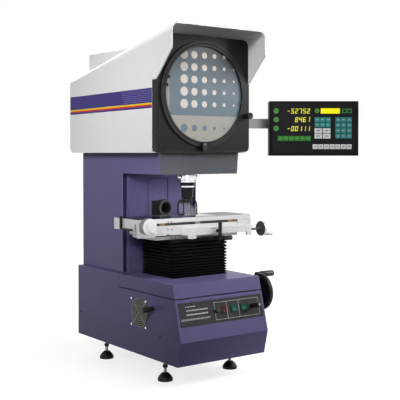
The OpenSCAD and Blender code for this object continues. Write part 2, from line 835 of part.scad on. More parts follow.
module dro_panel() {
  color("dimgray") at_dro() translate([5, 1, dro_z0 + 5]) cube([dro_w - 10, 4, dro_h - 10]);
}
table_yc = table_y0 + table_d / 2;
rail_y0 = -172;
rail_y1 = -162;
rod_yc = -167;
rod_zc = 485;
rod_r = 3;
upper_x = 116;
way_f = [-153, -145];
way_b = [-58, -46];
xdrive_y = -185;
xdrive_z = 454.5;
ydrive_x = -196;
ydrive_z = 483;
sb_x0 = -148;
sb_x1 = 178;
sb_y0 = -158;
sb_y1 = -21;
key_xc = 111;
key_w = 12;
key_h = 6;
key_y0 = sb_y0 + 20;
end_l = 26;
end_z0 = 467.5;
glass_seat = 6;
module lift_column() {
  color("gray") difference() {
    lift_hole(0, lift_z0, sbase_z0);
    lift_hole(-12, lift_z0 - 1, sbase_z0 + 1);
  }
}
// Folded bellows between the deck and the stage
module bellows() {
  h = (sbase_z0 - 8 - base_z1) / pleats;
  color("black") difference() {
    union() {
      for (k = [0:pleats - 1]) {
        bel_box(0, base_z1 + k * h, base_z1 + (k + 0.5) * h);
        bel_box(8, base_z1 + (k + 0.5) * h - eps, base_z1 + (k + 1) * h + eps);
      }
      bel_box(0, sbase_z0 - 8, sbase_z0);
    }
    bel_box(13, base_z1 - 1, sbase_z0 + 1);
  }
}
module bel_box(in, z0, z1) {
  w = bel_w / 2 - in;
  d = bel_d / 2 - in;
  box(lift_x - w, lift_x + w, lift_y - d, lift_y + d, z0, z1);
}
// Lowest stage plate with two keys for the cross slide
module stage_base() {
  color("gainsboro") difference() {
    union() {
      box(sb_x0, sb_x1, sb_y0, sb_y1, sbase_z0, sbase_z1);
      for (s = [-1, 1])
        box(s * key_xc - key_w / 2, s * key_xc + key_w / 2, key_y0, sb_y1, sbase_z1 - 1, sbase_z1 + key_h);
    }
    lift_hole(-12, sbase_z0 - 1, sbase_z1 + 1);
  }
}
// Cross slide: lower plate, upper block with two ways, front wall and wheel bracket
module y_saddle() {
  z0 = sbase_z1 + run_fit;
  color("gainsboro") difference() {
    union() {
      box(-165, 170, rail_y0, -30, z0, 466);
      box(-upper_x, upper_x, -154, -40, 465, saddle_z1);
      box(-upper_x, upper_x, way_f[0], way_f[1], saddle_z1 - 1, plate_z - run_fit);
      box(-upper_x, upper_x, way_b[0], way_b[1], saddle_z1 - 1, plate_z - run_fit);
      box(-172, block_x + 1, rail_y0, rail_y1, z0, saddle_z1);
      box(block_x, table_x + 1, table_y0, rail_y1, hous_z1, plate_z - slide_fit);
      box(ydrive_x - wheel_r, -160, -175, rail_y1, z0, plate_z - slide_fit);
    }
    box(-60, 60, -144, -60, z0 - 1, saddle_z1 + 1);
    for (s = [-1, 1])
      box(s * key_xc - key_w / 2 - run_fit, s * key_xc + key_w / 2 + run_fit, rail_y0 - 1, 0,
        z0 - 1, sbase_z1 + key_h + slide_fit);
    rod_y(-190, -150, ydrive_x, ydrive_z, 4 + run_fit);
  }
}
module x_table() {
  color("gainsboro") difference() {
    union() {
      box(-table_x, table_x, table_y0, table_y0 + table_d, plate_z, table_z);
      for (s = [-1, 1])
        box(s * (table_x - end_l / 2) - end_l / 2, s * (table_x - end_l / 2) + end_l / 2,
          -150, table_y0 + table_d, end_z0, plate_z + 1);
      box(-table_x + 10, table_x - 10, -160, way_f[0] - run_fit, plate_z - 7, plate_z + 1);
      box(-table_x + 10, table_x - 10, way_b[1] + run_fit, -39, plate_z - 7, plate_z + 1);
      box(-6, 14, rail_y0 + 1, rail_y1 - 1, saddle_z1 + slide_fit, plate_z + 1);
    }
    glass_box(0, table_z - glass_seat, table_z + 1);
    glass_box(6, plate_z - 1, table_z + 1);
    rod_x(-20, 30, rod_yc, rod_zc, rod_r + run_fit);
    rod_x(-table_x - 1, -table_x + 12, clamp_y, clamp_z, 3 + run_fit);
  }
}
clamp_y = -76;
clamp_z = 488;
module stage_glass() {
  color("lightblue") glass_box(0, table_z - glass_seat, table_z - 0.2);
}
module glass_box(in, z0, z1) {
  w = sglass_l / 2 - in;
  d = sglass_d / 2 - in;
  box(-w, w, table_yc - d, table_yc + d, z0, z1);
}
bush_x = [-141, 127];
bush_l = 20;
module rod_bushings() {
  color("goldenrod") for (x = bush_x) difference() {
    box(x, x + bush_l, rail_y0 + 1, rail_y1 - 1, saddle_z1, plate_z - slide_fit);
    rod_x(x - 1, x + bush_l + 1, rod_yc, rod_zc, rod_r + run_fit);
  }
}
// Drive rod of the long travel
module x_rod() {
  color("silver") {
    rod_x(bush_x[0] - 4, bush_x[1] + bush_l + 14, rod_yc, rod_zc, rod_r);
    rod_x(bush_x[1] + bush_l + slide_fit, bush_x[1] + bush_l + 14, rod_yc, rod_zc, rod_r + 0.8);
  }
}
hous_x0 = -38;
hous_x1 = 209;
hous_y0 = -195;
hous_z0 = 448;
hous_z1 = 470;
block_x = 166;
// Housing outline with its bevelled left end
module hous_body(y1, z0, z1) {
  lean = (y1 - hous_y0) * 0.83;
  translate([0, 0, z0]) linear_extrude(z1 - z0) polygon([
    [hous_x0, hous_y0], [hous_x1, hous_y0], [hous_x1, y1], [hous_x0 - lean, y1]
  ]);
}
// Drive housing on the front of the cross slide
module x_housing() {
  color("gainsboro") difference() {
    union() {
      hous_body(rail_y0, hous_z0, hous_z1);
      difference() {
        hous_body(hous_y0 + 8, hous_z0 - 11, hous_z0 + 1);
        box(hous_x0 + 20, hous_x1 - 19, hous_y0 - 1, hous_y0 + 9, hous_z0 - 12, hous_z0);
      }
    }
    rod_x(120, hous_x1 + 1, xdrive_y, xdrive_z, 4 + run_fit);
    rod_y(hous_y0 - 1, hous_y0 + 11, release_x, release_z, 3 + run_fit);
  }
}
release_x = 66;
release_z = 458;
xwheel_x = 256;
xwheel_t = 10;
xcrank_y = -6;
xcrank_z = -18;
module x_handwheel() {
  color("gray") difference() {
    union() {
      rod_x(122, xwheel_x + 1, xdrive_y, xdrive_z, 4);
      rod_x(xwheel_x, xwheel_x + xwheel_t, xdrive_y, xdrive_z, wheel_r);
      rod_x(xwheel_x + xwheel_t - 1, xwheel_x + xwheel_t + 6, xdrive_y, xdrive_z, 8);
    }
    rod_x(xwheel_x - 5, xwheel_x + 20, xdrive_y + xcrank_y, xdrive_z + xcrank_z, 2.5 + run_fit);
  }
}
module x_handle() {
  color("white") {
    rod_x(xwheel_x + xwheel_t + slide_fit, xwheel_x + 46, xdrive_y + xcrank_y, xdrive_z + xcrank_z, 5.5);
    rod_x(xwheel_x - 2, xwheel_x + 16, xdrive_y + xcrank_y, xdrive_z + xcrank_z, 2.5);
    rod_x(xwheel_x - 3, xwheel_x - slide_fit, xdrive_y + xcrank_y, xdrive_z + xcrank_z, 4);
  }
}
// Drum of the short travel with its crank pin
module y_handwheel() {
  color("gainsboro") {
    rod_y(-200, -177, ydrive_x, ydrive_z, wheel_r);
    rod_y(-203, -199, ydrive_x, ydrive_z, 12);
    rod_y(-178, rail_y1, ydrive_x, ydrive_z, 4);
    rod_y(-222, -199, ydrive_x + 6, ydrive_z - 17, 5);
  }
}
// Release lever of the long travel
module release_lever() {
  color("black") {
    box(release_x - 5, release_x + 5, lever_y - 3, lever_y + 3, 428, rod_zc + 1);
    rod_y(lever_y, -185, release_x, release_z, 3);
    rod_y(lever_y, -195 - slide_fit, release_x, release_z, 6);
    rod_x(release_x, release_x + 46, lever_y, 434, 4);
    rod_x(release_x + 12, release_x + 46, lever_y, 434, 7.5);
  }
}
lever_y = -209;
// Clamp lever on the left end of the table
module clamp_lever() {
  color("black") {
    box(-table_x - 7, -table_x - slide_fit, clamp_y - 4, clamp_y + 4, 468, 511);
    box(-table_x - 7, -table_x - slide_fit, -140, clamp_y + 4, 468, 474);
    rod_x(-table_x - 5, -table_x + 10, clamp_y, clamp_z, 3);
  }
}
base_casing();
deck_cover();
floor_plate();
levelling_feet();
control_panel();
switch_bodies();
power_rocker();
contour_rocker();
surface_rocker();
brightness_knob();
fuse_cap();
m4_screws();
fan_frame();
fan_rotor();
fan_guard();
lamp_knob();
mains_inlet();
z_handwheel();
z_handle();
lamp_house();
lift_guide();
lift_column();
bellows();
column_shell();
column_panel();
cover_plate();
surface_tube();
neck_shell();
neck_plate();
objective_mount();
thumb_screws();
objective_barrel();
objective_lens();
mirror_frame();
half_mirror();
head_housing();
mirror_cover();
relay_mirror();
face_plate();
screen_ring();
screen_glass();
chart_clips();
screen_knob();
vernier_block();
dro_bracket();
dro_arm();
dro_case();
dro_panel();
stage_base();
y_saddle();
x_table();
stage_glass();
x_rod();
rod_bushings();
x_housing();
x_handwheel();
x_handle();
y_handwheel();
release_lever();
clamp_lever();
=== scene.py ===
# %% [markdown]
# # A bench profile projector, dressed from its CAD frame
# The CAD pieces carry the sizes and the joints. This notebook loads them, gives each one a
# procedural material, and adds the fine things that a drawing leaves out: print, keys, pleats,
# knurls, screw slots. Every new mesh rides on the CAD body it belongs to, so it moves with it.

# %% Load the frame
import math
import bpy
import bmesh
from mathutils import Matrix, Vector


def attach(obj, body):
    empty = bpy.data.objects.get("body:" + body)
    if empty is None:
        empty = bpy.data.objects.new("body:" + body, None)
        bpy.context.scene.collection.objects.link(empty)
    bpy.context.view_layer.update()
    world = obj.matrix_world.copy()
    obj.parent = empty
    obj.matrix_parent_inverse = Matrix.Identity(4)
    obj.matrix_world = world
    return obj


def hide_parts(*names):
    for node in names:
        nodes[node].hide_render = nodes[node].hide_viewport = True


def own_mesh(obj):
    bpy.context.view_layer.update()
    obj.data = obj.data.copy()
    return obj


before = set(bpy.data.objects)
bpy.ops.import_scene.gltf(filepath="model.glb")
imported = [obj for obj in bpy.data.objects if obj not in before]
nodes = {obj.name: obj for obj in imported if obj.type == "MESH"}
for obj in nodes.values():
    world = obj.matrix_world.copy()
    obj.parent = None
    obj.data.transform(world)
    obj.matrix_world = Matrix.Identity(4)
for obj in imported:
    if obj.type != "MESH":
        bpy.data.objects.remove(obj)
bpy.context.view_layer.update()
scene = bpy.context.scene
MM = 0.001
print("loaded", len(nodes), "CAD nodes")

# %% [markdown]
# ## Places, read from the CAD nodes
# Materials and small parts need to know where the screen, the drum or the tube sits. The places
# are read from the CAD meshes, in millimetres; x runs right, y runs back, z runs up.

# %% Boxes of the CAD nodes
def box_mm(name):
    """Low corner, high corner and middle of a CAD node."""
    spots = [v.co / MM for v in nodes[name].data.vertices]
    low = Vector([round(min(s[i] for s in spots), 2) for i in range(3)])
    high = Vector([round(max(s[i] for s in spots), 2) for i in range(3)])
    return low, high, (low + high) / 2


screen_axis = (0.0, 0.0, box_mm("screen_ring")[2].z)
tube_low, tube_high, tube_mid = box_mm("surface_tube")
tube_axis = (0.0, 0.0, tube_mid.z)
cover_low, cover_high, _ = box_mm("cover_plate")
drum_mid = box_mm("y_handwheel")[2]
drum_axis = (drum_mid.x, 0.0, drum_mid.z)
fan_mid = box_mm("fan_frame")[2]
table_front = box_mm("x_table")[0].y
base_plate_front = box_mm("stage_base")[0].y
face_front = box_mm("face_plate")[0].y
head_left = box_mm("head_housing")[0].x
base_left = box_mm("deck_cover")[0].x
print("screen axis at z", screen_axis[2], "and tube axis at z", tube_axis[2])

# %% [markdown]
# ## Small helpers for node trees
# A node tree is easier to read when it is wired with short calls. `add` makes a node and sets
# its inputs by name, `wire` and `join` link sockets, `calc` is one Math node and `blend` one
# colour mix. In the cells below, `t` is a node tree and `p` its Principled BSDF.

# %% Tree helpers
def add(tree, kind, **values):
    node = tree.nodes.new(kind)
    for key, value in values.items():
        if key in node.inputs:
            node.inputs[key].default_value = value
        else:
            setattr(node, key, value)
    return node


def wire(tree, out_socket, in_socket):
    tree.links.new(out_socket, in_socket)


def join(tree, *links):
    """Links sockets by name: (node, its output, next node, its input)."""
    for a, out_name, b, in_name in links:
        wire(tree, a.outputs[out_name], b.inputs[in_name])


def feed(tree, value, socket):
    """Links a socket, or sets a plain value; only sockets have links."""
    if hasattr(value, "links"):
        tree.links.new(value, socket)
    else:
        socket.default_value = value


def calc(tree, op, a, b=None, c=None, clamp=False):
    node = add(tree, "ShaderNodeMath", operation=op, use_clamp=clamp)
    for value, socket in zip((a, b, c), node.inputs):
        if value is not None:
            feed(tree, value, socket)
    return node.outputs[0]


def blend(tree, share, a, b):
    """Mixes two colours; a share of 1 shows the second one."""
    node = add(tree, "ShaderNodeMix", data_type="RGBA")
    feed(tree, share, node.inputs[0])
    for value, index in ((a, 6), (b, 7)):
        feed(tree, value if hasattr(value, "links") else (*value, 1.0), node.inputs[index])
    return node.outputs[2]


# %% [markdown]
# Masks are numbers between 0 and 1. A `ramp` rises smoothly, a `window` is 1 between two
# limits, and masks are joined with `both` and `either`.

# %% Mask helpers
def both(t, a, b):
    return calc(t, "MULTIPLY", a, b)


def either(t, a, b):
    return calc(t, "MAXIMUM", a, b)


def ramp(t, value, start, end):
    """0 at the start, 1 at the end; the start may be the larger number."""
    node = add(t, "ShaderNodeMapRange", interpolation_type="SMOOTHSTEP", **{"From Min": start, "From Max": end})
    wire(t, value, node.inputs["Value"])
    return node.outputs[0]


def window(t, value, low, high, soft=1.0):
    return both(t, ramp(t, value, low - soft, low + soft), ramp(t, value, high + soft, high - soft))


def object_mm(t, center=(0.0, 0.0, 0.0)):
    """Object coordinates in millimetres, counted from a centre."""
    xyz = add(t, "ShaderNodeSeparateXYZ")
    wire(t, add(t, "ShaderNodeTexCoord").outputs["Object"], xyz.inputs[0])
    return [calc(t, "MULTIPLY_ADD", xyz.outputs[i], 1.0 / MM, -center[i]) for i in range(3)]


def facing_up_part(t):
    """The upward part of the normal: 1 on a level top, 0 on a wall."""
    xyz = add(t, "ShaderNodeSeparateXYZ")
    wire(t, add(t, "ShaderNodeNewGeometry").outputs["Normal"], xyz.inputs[0])
    return xyz.outputs["Z"]


def radius(t, a, b):
    return calc(t, "SQRT", calc(t, "ADD", calc(t, "MULTIPLY", a, a), calc(t, "MULTIPLY", b, b)))


print("helpers ready")

# %% [markdown]
# ## Shared effects as node groups
# Paint grain, machining marks and dust are used by many materials, so each is one group with
# named sockets. A group gives only values, colours or normals; the shader itself stays in the
# material, where it can be read at a glance.
#
# Sprayed enamel is never flat: a fine noise drives a bump, and a wide one mottles the colour.

# %% Group: paint grain
def new_group(name, ins, outs):
    g = bpy.data.node_groups.new(name, "ShaderNodeTree")
    for label, kind, value in ins:
        g.interface.new_socket(label, in_out="INPUT", socket_type=kind).default_value = value
    for label, kind in outs:
        g.interface.new_socket(label, in_out="OUTPUT", socket_type=kind)
    print("group:", name)
    return g, g.nodes.new("NodeGroupInput"), g.nodes.new("NodeGroupOutput")


FLOAT, VECTOR, INT = "NodeSocketFloat", "NodeSocketVector", "NodeSocketInt"

grain, gi, go = new_group("Paint grain", [("Scale", FLOAT, 400.0), ("Height", FLOAT, 0.2), ("Depth mm", FLOAT, 0.4)],
                          [("Normal", VECTOR), ("Mottle", FLOAT)])
pos = add(grain, "ShaderNodeTexCoord")
fine = add(grain, "ShaderNodeTexNoise", Detail=3.0, Roughness=0.6)
wide = add(grain, "ShaderNodeTexNoise", Scale=9.0, Detail=2.0)
bump = add(grain, "ShaderNodeBump")
wire(grain, calc(grain, "MULTIPLY", gi.outputs["Depth mm"], MM), bump.inputs["Distance"])
join(grain, (pos, "Object", fine, "Vector"), (pos, "Object", wide, "Vector"), (gi, "Scale", fine, "Scale"),
     (fine, "Fac", bump, "Height"), (gi, "Height", bump, "Strength"),
     (bump, "Normal", go, "Normal"), (wide, "Fac", go, "Mottle"))

# %% [markdown]
# A cutter or a grinding wheel leaves lines in one direction. Noise on coordinates that are
# stretched along two axes gives such lines, for the bump and for the gloss.

# %% Group: machining lines
lines, gi, go = new_group("Machined lines", [("Stretch", VECTOR, (1.0, 30.0, 1.0)), ("Height", FLOAT, 0.1)],
                          [("Normal", VECTOR), ("Streak", FLOAT)])
pos = add(lines, "ShaderNodeTexCoord")
mul = add(lines, "ShaderNodeVectorMath", operation="MULTIPLY")
streak = add(lines, "ShaderNodeTexNoise", Scale=40.0, Detail=4.0, Roughness=0.55)
bump = add(lines, "ShaderNodeBump", Distance=0.2 * MM)
join(lines, (pos, "Object", mul, 0), (gi, "Stretch", mul, 1), (mul, 0, streak, "Vector"),
     (streak, "Fac", bump, "Height"), (gi, "Height", bump, "Strength"),
     (bump, "Normal", go, "Normal"), (streak, "Fac", go, "Streak"))

# %% [markdown]
# Dust lies on what faces up. The mask is the upward part of the normal, broken up by noise.

# %% Group: dust on upward faces
dust, gi, go = new_group("Light dust", [("Amount", FLOAT, 0.15), ("Scale", FLOAT, 60.0)], [("Mask", FLOAT)])
pos = add(dust, "ShaderNodeTexCoord")
spots = add(dust, "ShaderNodeTexNoise", Detail=5.0, Roughness=0.7)
join(dust, (pos, "Object", spots, "Vector"), (gi, "Scale", spots, "Scale"))
cloud = calc(dust, "MULTIPLY", calc(dust, "MAXIMUM", facing_up_part(dust), 0.0), spots.outputs["Fac"])
wire(dust, calc(dust, "MULTIPLY", cloud, gi.outputs["Amount"], clamp=True), go.inputs["Mask"])

# %% [markdown]
# ## Materials
# Two recipes cover most of the machine. Paint, plastic and rubber have a grain, a little mottle
# and some dust. Metal has drawn lines. `shine` is the strength of the mirror layer: a studio
# with white walls greys every black surface that has much of it.

# %% Recipes
def settings(node, **values):
    """Sets or links inputs by name; an underscore stands for a space."""
    for key, value in values.items():
        feed(node.id_data, value, node.inputs[key.replace("_", " ")])


def group_node(tree, group, **values):
    node = add(tree, "ShaderNodeGroup", node_tree=group)
    settings(node, **values)
    return node


def base_material(name):
    m = bpy.data.materials.new(name)
    m.use_nodes = True
    return m, m.node_tree, m.node_tree.nodes["Principled BSDF"]


def paint(name, color, rough=0.4, scale=400.0, height=0.2, depth=0.4, mottle=0.08, dusty=0.05, shine=0.3):
    m, t, p = base_material(name)
    g = group_node(t, grain, Scale=scale, Height=height, Depth_mm=depth)
    dark = tuple(c * (1.0 - mottle) for c in color)
    light = tuple(min(1.0, c * (1.0 + mottle)) for c in color)
    tone = blend(t, g.outputs["Mottle"], dark, light)
    d = group_node(t, dust, Amount=dusty)
    tone = blend(t, d.outputs["Mask"], tone, (0.5, 0.5, 0.5))
    settings(p, Base_Color=tone, Roughness=rough, Specular_IOR_Level=shine, Normal=g.outputs["Normal"])
    return m


def moulded(name, color, mottle=0.03, shine=0.3):
    """Smooth coloured plastic: keys and rockers."""
    return paint(name, color, 0.4, 700.0, 0.05, 0.1, mottle, dusty=0.0, shine=shine)


def metal(name, color, rough=0.3, stretch=(1.0, 30.0, 1.0), height=0.08, metallic=1.0):
    m, t, p = base_material(name)
    g = group_node(t, lines, Stretch=stretch, Height=height)
    gloss = calc(t, "MULTIPLY_ADD", g.outputs["Streak"], 0.25 * rough, rough * 0.85)
    tone = blend(t, g.outputs["Streak"], tuple(c * 0.94 for c in color), color)
    settings(p, Base_Color=tone, Roughness=gloss, Metallic=metallic, Normal=g.outputs["Normal"])
    return m


def glow(name, color, strength):
    m, t, p = base_material(name)
    settings(p, Base_Color=(*color, 1.0), Emission_Color=(*color, 1.0), Emission_Strength=strength, Roughness=0.4)
    return m


# %% Palette: paint, plastic and rubber
violet = paint("Violet hammer paint", (0.120, 0.108, 0.232), 0.36, 260.0, 0.2, 0.35, 0.08, dusty=0.01, shine=0.09)
white = paint("White enamel", (0.80, 0.80, 0.80), 0.35, 500.0, 0.12, 0.3, 0.015, dusty=0.02)
black = paint("Black enamel", (0.007, 0.007, 0.008), 0.38, 500.0, 0.2, 0.3, 0.1, dusty=0.01, shine=0.16)
case_black = paint("Readout case black", (0.006, 0.006, 0.0065), 0.45, 700.0, 0.2, 0.2, 0.1, dusty=0.01, shine=0.08)
panel_grey = paint("Panel grey", (0.040, 0.040, 0.042), 0.5, 700.0, 0.12, 0.2, 0.06, dusty=0.02, shine=0.1)
neck_grey = paint("Neck front enamel", (0.072, 0.078, 0.090), 0.4, 500.0, 0.12, 0.3, 0.03, shine=0.25)
rubber = paint("Black rubber", (0.008, 0.008, 0.009), 0.6, 600.0, 0.2, 0.3, 0.1, shine=0.15)
plastic = paint("Black plastic", (0.007, 0.007, 0.008), 0.3, 700.0, 0.1, 0.2, 0.1)
cloth = paint("Bellows cloth", (0.004, 0.004, 0.0045), 0.6, 900.0, 0.3, 0.3, 0.1, dusty=0.0, shine=0.06)
iron = paint("Iron casting", (0.06, 0.06, 0.065), 0.55, 300.0, 0.3, 0.5, 0.1)
red = moulded("Red rocker", (0.100, 0.008, 0.008), 0.02, 0.06)
green = moulded("Green rocker", (0.004, 0.115, 0.070), 0.02, 0.06)

# %% Palette: metals
alu = metal("Machined aluminium", (0.62, 0.62, 0.63), 0.42, (30.0, 1.0, 1.0), 0.06, 0.3)
steel = metal("Ground steel", (0.55, 0.55, 0.56), 0.28)
arm_steel = metal("Brushed arm", (0.34, 0.34, 0.34), 0.34, (1.0, 1.0, 30.0), 0.02)
guard_wire = metal("Guard wire", (0.17, 0.165, 0.15), 0.4)
chrome = metal("Chrome", (0.80, 0.80, 0.82), 0.08, (1.0, 1.0, 8.0), 0.02)
brass = metal("Brass", (0.30, 0.20, 0.11), 0.35)
rod_steel = metal("Dark drive rod", (0.10, 0.10, 0.10), 0.3, (1.0, 1.0, 30.0), 0.03)
mirror = metal("Silvered mirror", (0.9, 0.9, 0.9), 0.05, (1.0, 1.0, 1.0), 0.0)
print("palette of", len(bpy.data.materials), "materials")

# %% [markdown]
# ## Dress the CAD nodes
# Most CAD nodes take one material from the palette; those of two looks follow further down.
# Weld, Decimate and Bevel round the sharp edges a little, because real castings and sheet metal
# never have a knife edge, and a rounded edge catches light.

# %% Plain looks
plain_looks = {
    violet: "base_casing deck_cover column_shell cover_plate neck_shell",
    white: "head_housing mirror_cover",
    black: "face_plate vernier_block mirror_frame chart_clips release_lever clamp_lever",
    case_black: "dro_case dro_panel",
    panel_grey: "control_panel",
    neck_grey: "neck_plate",
    plastic: "switch_bodies brightness_knob fuse_cap fan_frame fan_rotor mains_inlet z_handwheel z_handle",
    cloth: "bellows",
    iron: "floor_plate lift_guide",
    red: "power_rocker",
    green: "contour_rocker surface_rocker",
    alu: "stage_base x_housing lamp_house",
    steel: "lift_column",
    arm_steel: "dro_bracket dro_arm",
    rod_steel: "x_rod",
    guard_wire: "fan_guard",
    chrome: "objective_mount thumb_screws",
    brass: "rod_bushings",
    mirror: "relay_mirror",
}


def dress(obj, material):
    obj.data.materials.clear()
    obj.data.materials.append(material)


for material, names in plain_looks.items():
    for name in names.split():
        dress(nodes[name], material)
print("plain looks:", sum(len(names.split()) for names in plain_looks.values()), "nodes")

# %% Soft edges
FINE_EDGE = 0.6
round_edges = {
    1.2: "deck_cover y_saddle",
    1.5: "base_casing cover_plate x_table stage_base y_handwheel x_handwheel",
    1.6: "head_housing",
    2.0: "neck_shell x_housing lamp_knob",
    2.5: "z_handle",
    3.0: "column_shell face_plate dro_case",
    6.0: "mirror_cover",
}
edge_mm = {name: width for width, names in round_edges.items() for name in names.split()}
optics = {"screen_glass", "half_mirror", "objective_lens", "stage_glass", "relay_mirror"}


def modify(obj, name, kind, **values):
    mod = obj.modifiers.new(name, kind)
    for key, value in values.items():
        setattr(mod, key, value)


def soften(obj, width_mm, segments=3):
    modify(obj, "Weld", "WELD", merge_threshold=0.01 * MM)
    modify(obj, "Flatten", "DECIMATE", decimate_type="DISSOLVE", angle_limit=math.radians(0.5))
    modify(obj, "Bevel", "BEVEL", width=width_mm * MM, segments=segments, limit_method="ANGLE",
           angle_limit=math.radians(40), use_clamp_overlap=True, harden_normals=True)


for name, obj in nodes.items():
    if name not in optics:
        soften(obj, edge_mm.get(name, FINE_EDGE))
print("soft edges on", len(nodes) - len(optics), "nodes")

# %% [markdown]
# ## Drawing new pieces
# New meshes are drawn with `bmesh`, in millimetres and in the CAD frame. `Sketch` collects
# boxes, turned shapes and flat sheets, each with its own material, and makes one object of them
# that rides on a body.

# %% Sketch helper
class Sketch:
    def __init__(self, place=None):
        self.bm = bmesh.new()
        self.place = place or Matrix.Identity(4)
        self.mats = []

    def add_faces(self, verts, faces, material):
        if material not in self.mats:
            self.mats.append(material)
        vs = [self.bm.verts.new(self.place @ (Vector(v) * MM)) for v in verts]
        for f in faces:
            self.bm.faces.new([vs[i] for i in f]).material_index = self.mats.index(material)

    def add_mesh(self, mesh, shift, material):
        """Takes over a mesh in metres, shifted by millimetres, and deletes it."""
        verts = [v.co / MM + Vector(shift) for v in mesh.vertices]
        self.add_faces(verts, [tuple(f.vertices) for f in mesh.polygons], material)
        bpy.data.meshes.remove(mesh)

    def box(self, lo, hi, material):
        x0, y0, z0 = lo
        x1, y1, z1 = hi
        v = [(x0, y0, z0), (x1, y0, z0), (x1, y1, z0), (x0, y1, z0),
             (x0, y0, z1), (x1, y0, z1), (x1, y1, z1), (x0, y1, z1)]
        f = [(0, 3, 2, 1), (4, 5, 6, 7), (0, 1, 5, 4), (1, 2, 6, 5), (2, 3, 7, 6), (3, 0, 4, 7)]
        self.add_faces(v, f, material)

    def lathe(self, profile, material, axis="z", at=(0, 0, 0), n=48):
        """Turns (radius, height) points about z or y; a radius of 0 closes an end."""
        def ring(r, h):
            angles = [0.0] if r == 0 else [2 * math.pi * k / n for k in range(n)]
            flat = [(r * math.cos(a), r * math.sin(a)) for a in angles]
            return [Vector((c, s, h) if axis == "z" else (s, h, c)) + Vector(at) for c, s in flat]

        rows = [ring(r, h) for r, h in profile]
        starts = [sum(len(row) for row in rows[:i]) for i in range(len(rows))]
        faces = []
        for i in range(len(rows) - 1):
            a, b, la, lb = starts[i], starts[i + 1], len(rows[i]), len(rows[i + 1])
            for k in range(n):
                j = (k + 1) % n
                if la == 1:
                    faces.append((a, b + j, b + k))
                elif lb == 1:
                    faces.append((a + k, a + j, b))
                else:
                    faces.append((a + k, a + j, b + j, b + k))
        self.add_faces([v for row in rows for v in row], faces, material)

    def sheet(self, points, thick, material):
        """Extrudes a flat outline of 3-D points by a vector."""
        n = len(points)
        v = [Vector(p) for p in points] + [Vector(p) + Vector(thick) for p in points]
        f = [tuple(range(n - 1, -1, -1)), tuple(range(n, 2 * n))]
        f += [(i, (i + 1) % n, n + (i + 1) % n, n + i) for i in range(n)]
        self.add_faces(v, f, material)

    def done(self, name, body, smooth=None, bevel=0.0):
        bmesh.ops.recalc_face_normals(self.bm, faces=self.bm.faces)
        mesh = bpy.data.meshes.new(name)
        self.bm.to_mesh(mesh)
        self.bm.free()
        for m in self.mats:
            mesh.materials.append(m)
        obj = bpy.data.objects.new(name, mesh)
        scene.collection.objects.link(obj)
        if smooth:
            mesh.shade_smooth()
            mesh.set_sharp_from_angle(angle=math.radians(smooth))
        if bevel:
            soften(obj, bevel, 2)
        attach(obj, body)
        print("piece:", name, "on", body)
        return obj


# %% [markdown]
# Pieces on an upright or sloped face are drawn flat, in local x and y with z out of the face,
# and put there by a matrix.

# %% Faces to draw on
UPRIGHT = Matrix.Rotation(math.pi / 2, 4, "X")
slope_back, slope_tall = 32.0, 123.4
slope_top_y, slope_top_z = -292.5, 268.0
slope = math.atan2(slope_back, slope_tall)


def place(x, y, z, turn=Matrix.Identity(4)):
    return Matrix.Translation(Vector((x, y, z)) * MM) @ turn


def on_slope(x, s, out=0.5):
    """On the front slope: x along it, s millimetres down it."""
    top = place(x, slope_top_y - s * math.sin(slope), slope_top_z - s * math.cos(slope))
    return top @ Matrix.Rotation(math.pi / 2 - slope, 4, "X") @ place(0.0, 0.0, out)


readout_turn = Matrix.Rotation(math.radians(-36.3), 4, "Z")
readout_face = place(311.0, -166.0, 699.0, readout_turn) @ place(0.0, 1.0, 0.0, UPRIGHT)
print("front slope of", round(math.degrees(slope), 1), "degrees")

# %% [markdown]
# ## Geometry Nodes, from tree to plain mesh
# Things that follow a rule are made by a node tree with named inputs. Each tree ends in the same
# two nodes, Realize Instances and Set Material. `tree_mesh` runs a tree on an empty holder and
# copies the result into a plain mesh, so that nothing live is left behind.

# %% Tree start, tree end, tree runner
def new_tree(name, ins):
    g = bpy.data.node_groups.new(name, "GeometryNodeTree")
    g.is_modifier = True
    for label, kind, value in ins:
        g.interface.new_socket(label, in_out="INPUT", socket_type=kind).default_value = value
    g.interface.new_socket("Material", in_out="INPUT", socket_type="NodeSocketMaterial")
    g.interface.new_socket("Geometry", in_out="OUTPUT", socket_type="NodeSocketGeometry")
    return g, g.nodes.new("NodeGroupInput")


def end_tree(g, gi, geometry):
    real, tint = add(g, "GeometryNodeRealizeInstances"), add(g, "GeometryNodeSetMaterial")
    out = add(g, "NodeGroupOutput")
    wire(g, geometry, real.inputs[0])
    join(g, (real, 0, tint, "Geometry"), (gi, "Material", tint, "Material"), (tint, 0, out, 0))
    print("tree:", g.name)


def tree_mesh(tree, values):
    holder = bpy.data.objects.new("Holder", bpy.data.meshes.new("Holder"))
    scene.collection.objects.link(holder)
    mod = holder.modifiers.new("Tree", "NODES")
    mod.node_group = tree
    for item in tree.interface.items_tree:
        if item.in_out == "INPUT":
            mod[item.identifier] = values[item.name]
    mesh = bpy.data.meshes.new_from_object(holder.evaluated_get(bpy.context.evaluated_depsgraph_get()))
    holder.modifiers.remove(mod)
    bpy.data.objects.remove(holder)
    return mesh


# %% [markdown]
# ## Bellows
# The bellows are a folded sleeve round the lift column. Its shape follows a rule, so a tree makes
# it: it pulls a tube of eight sides out to a box with cut corners, and moves each ring in or out
# by a zigzag of its height. The pleats open a little towards the top, where the cloth hangs.

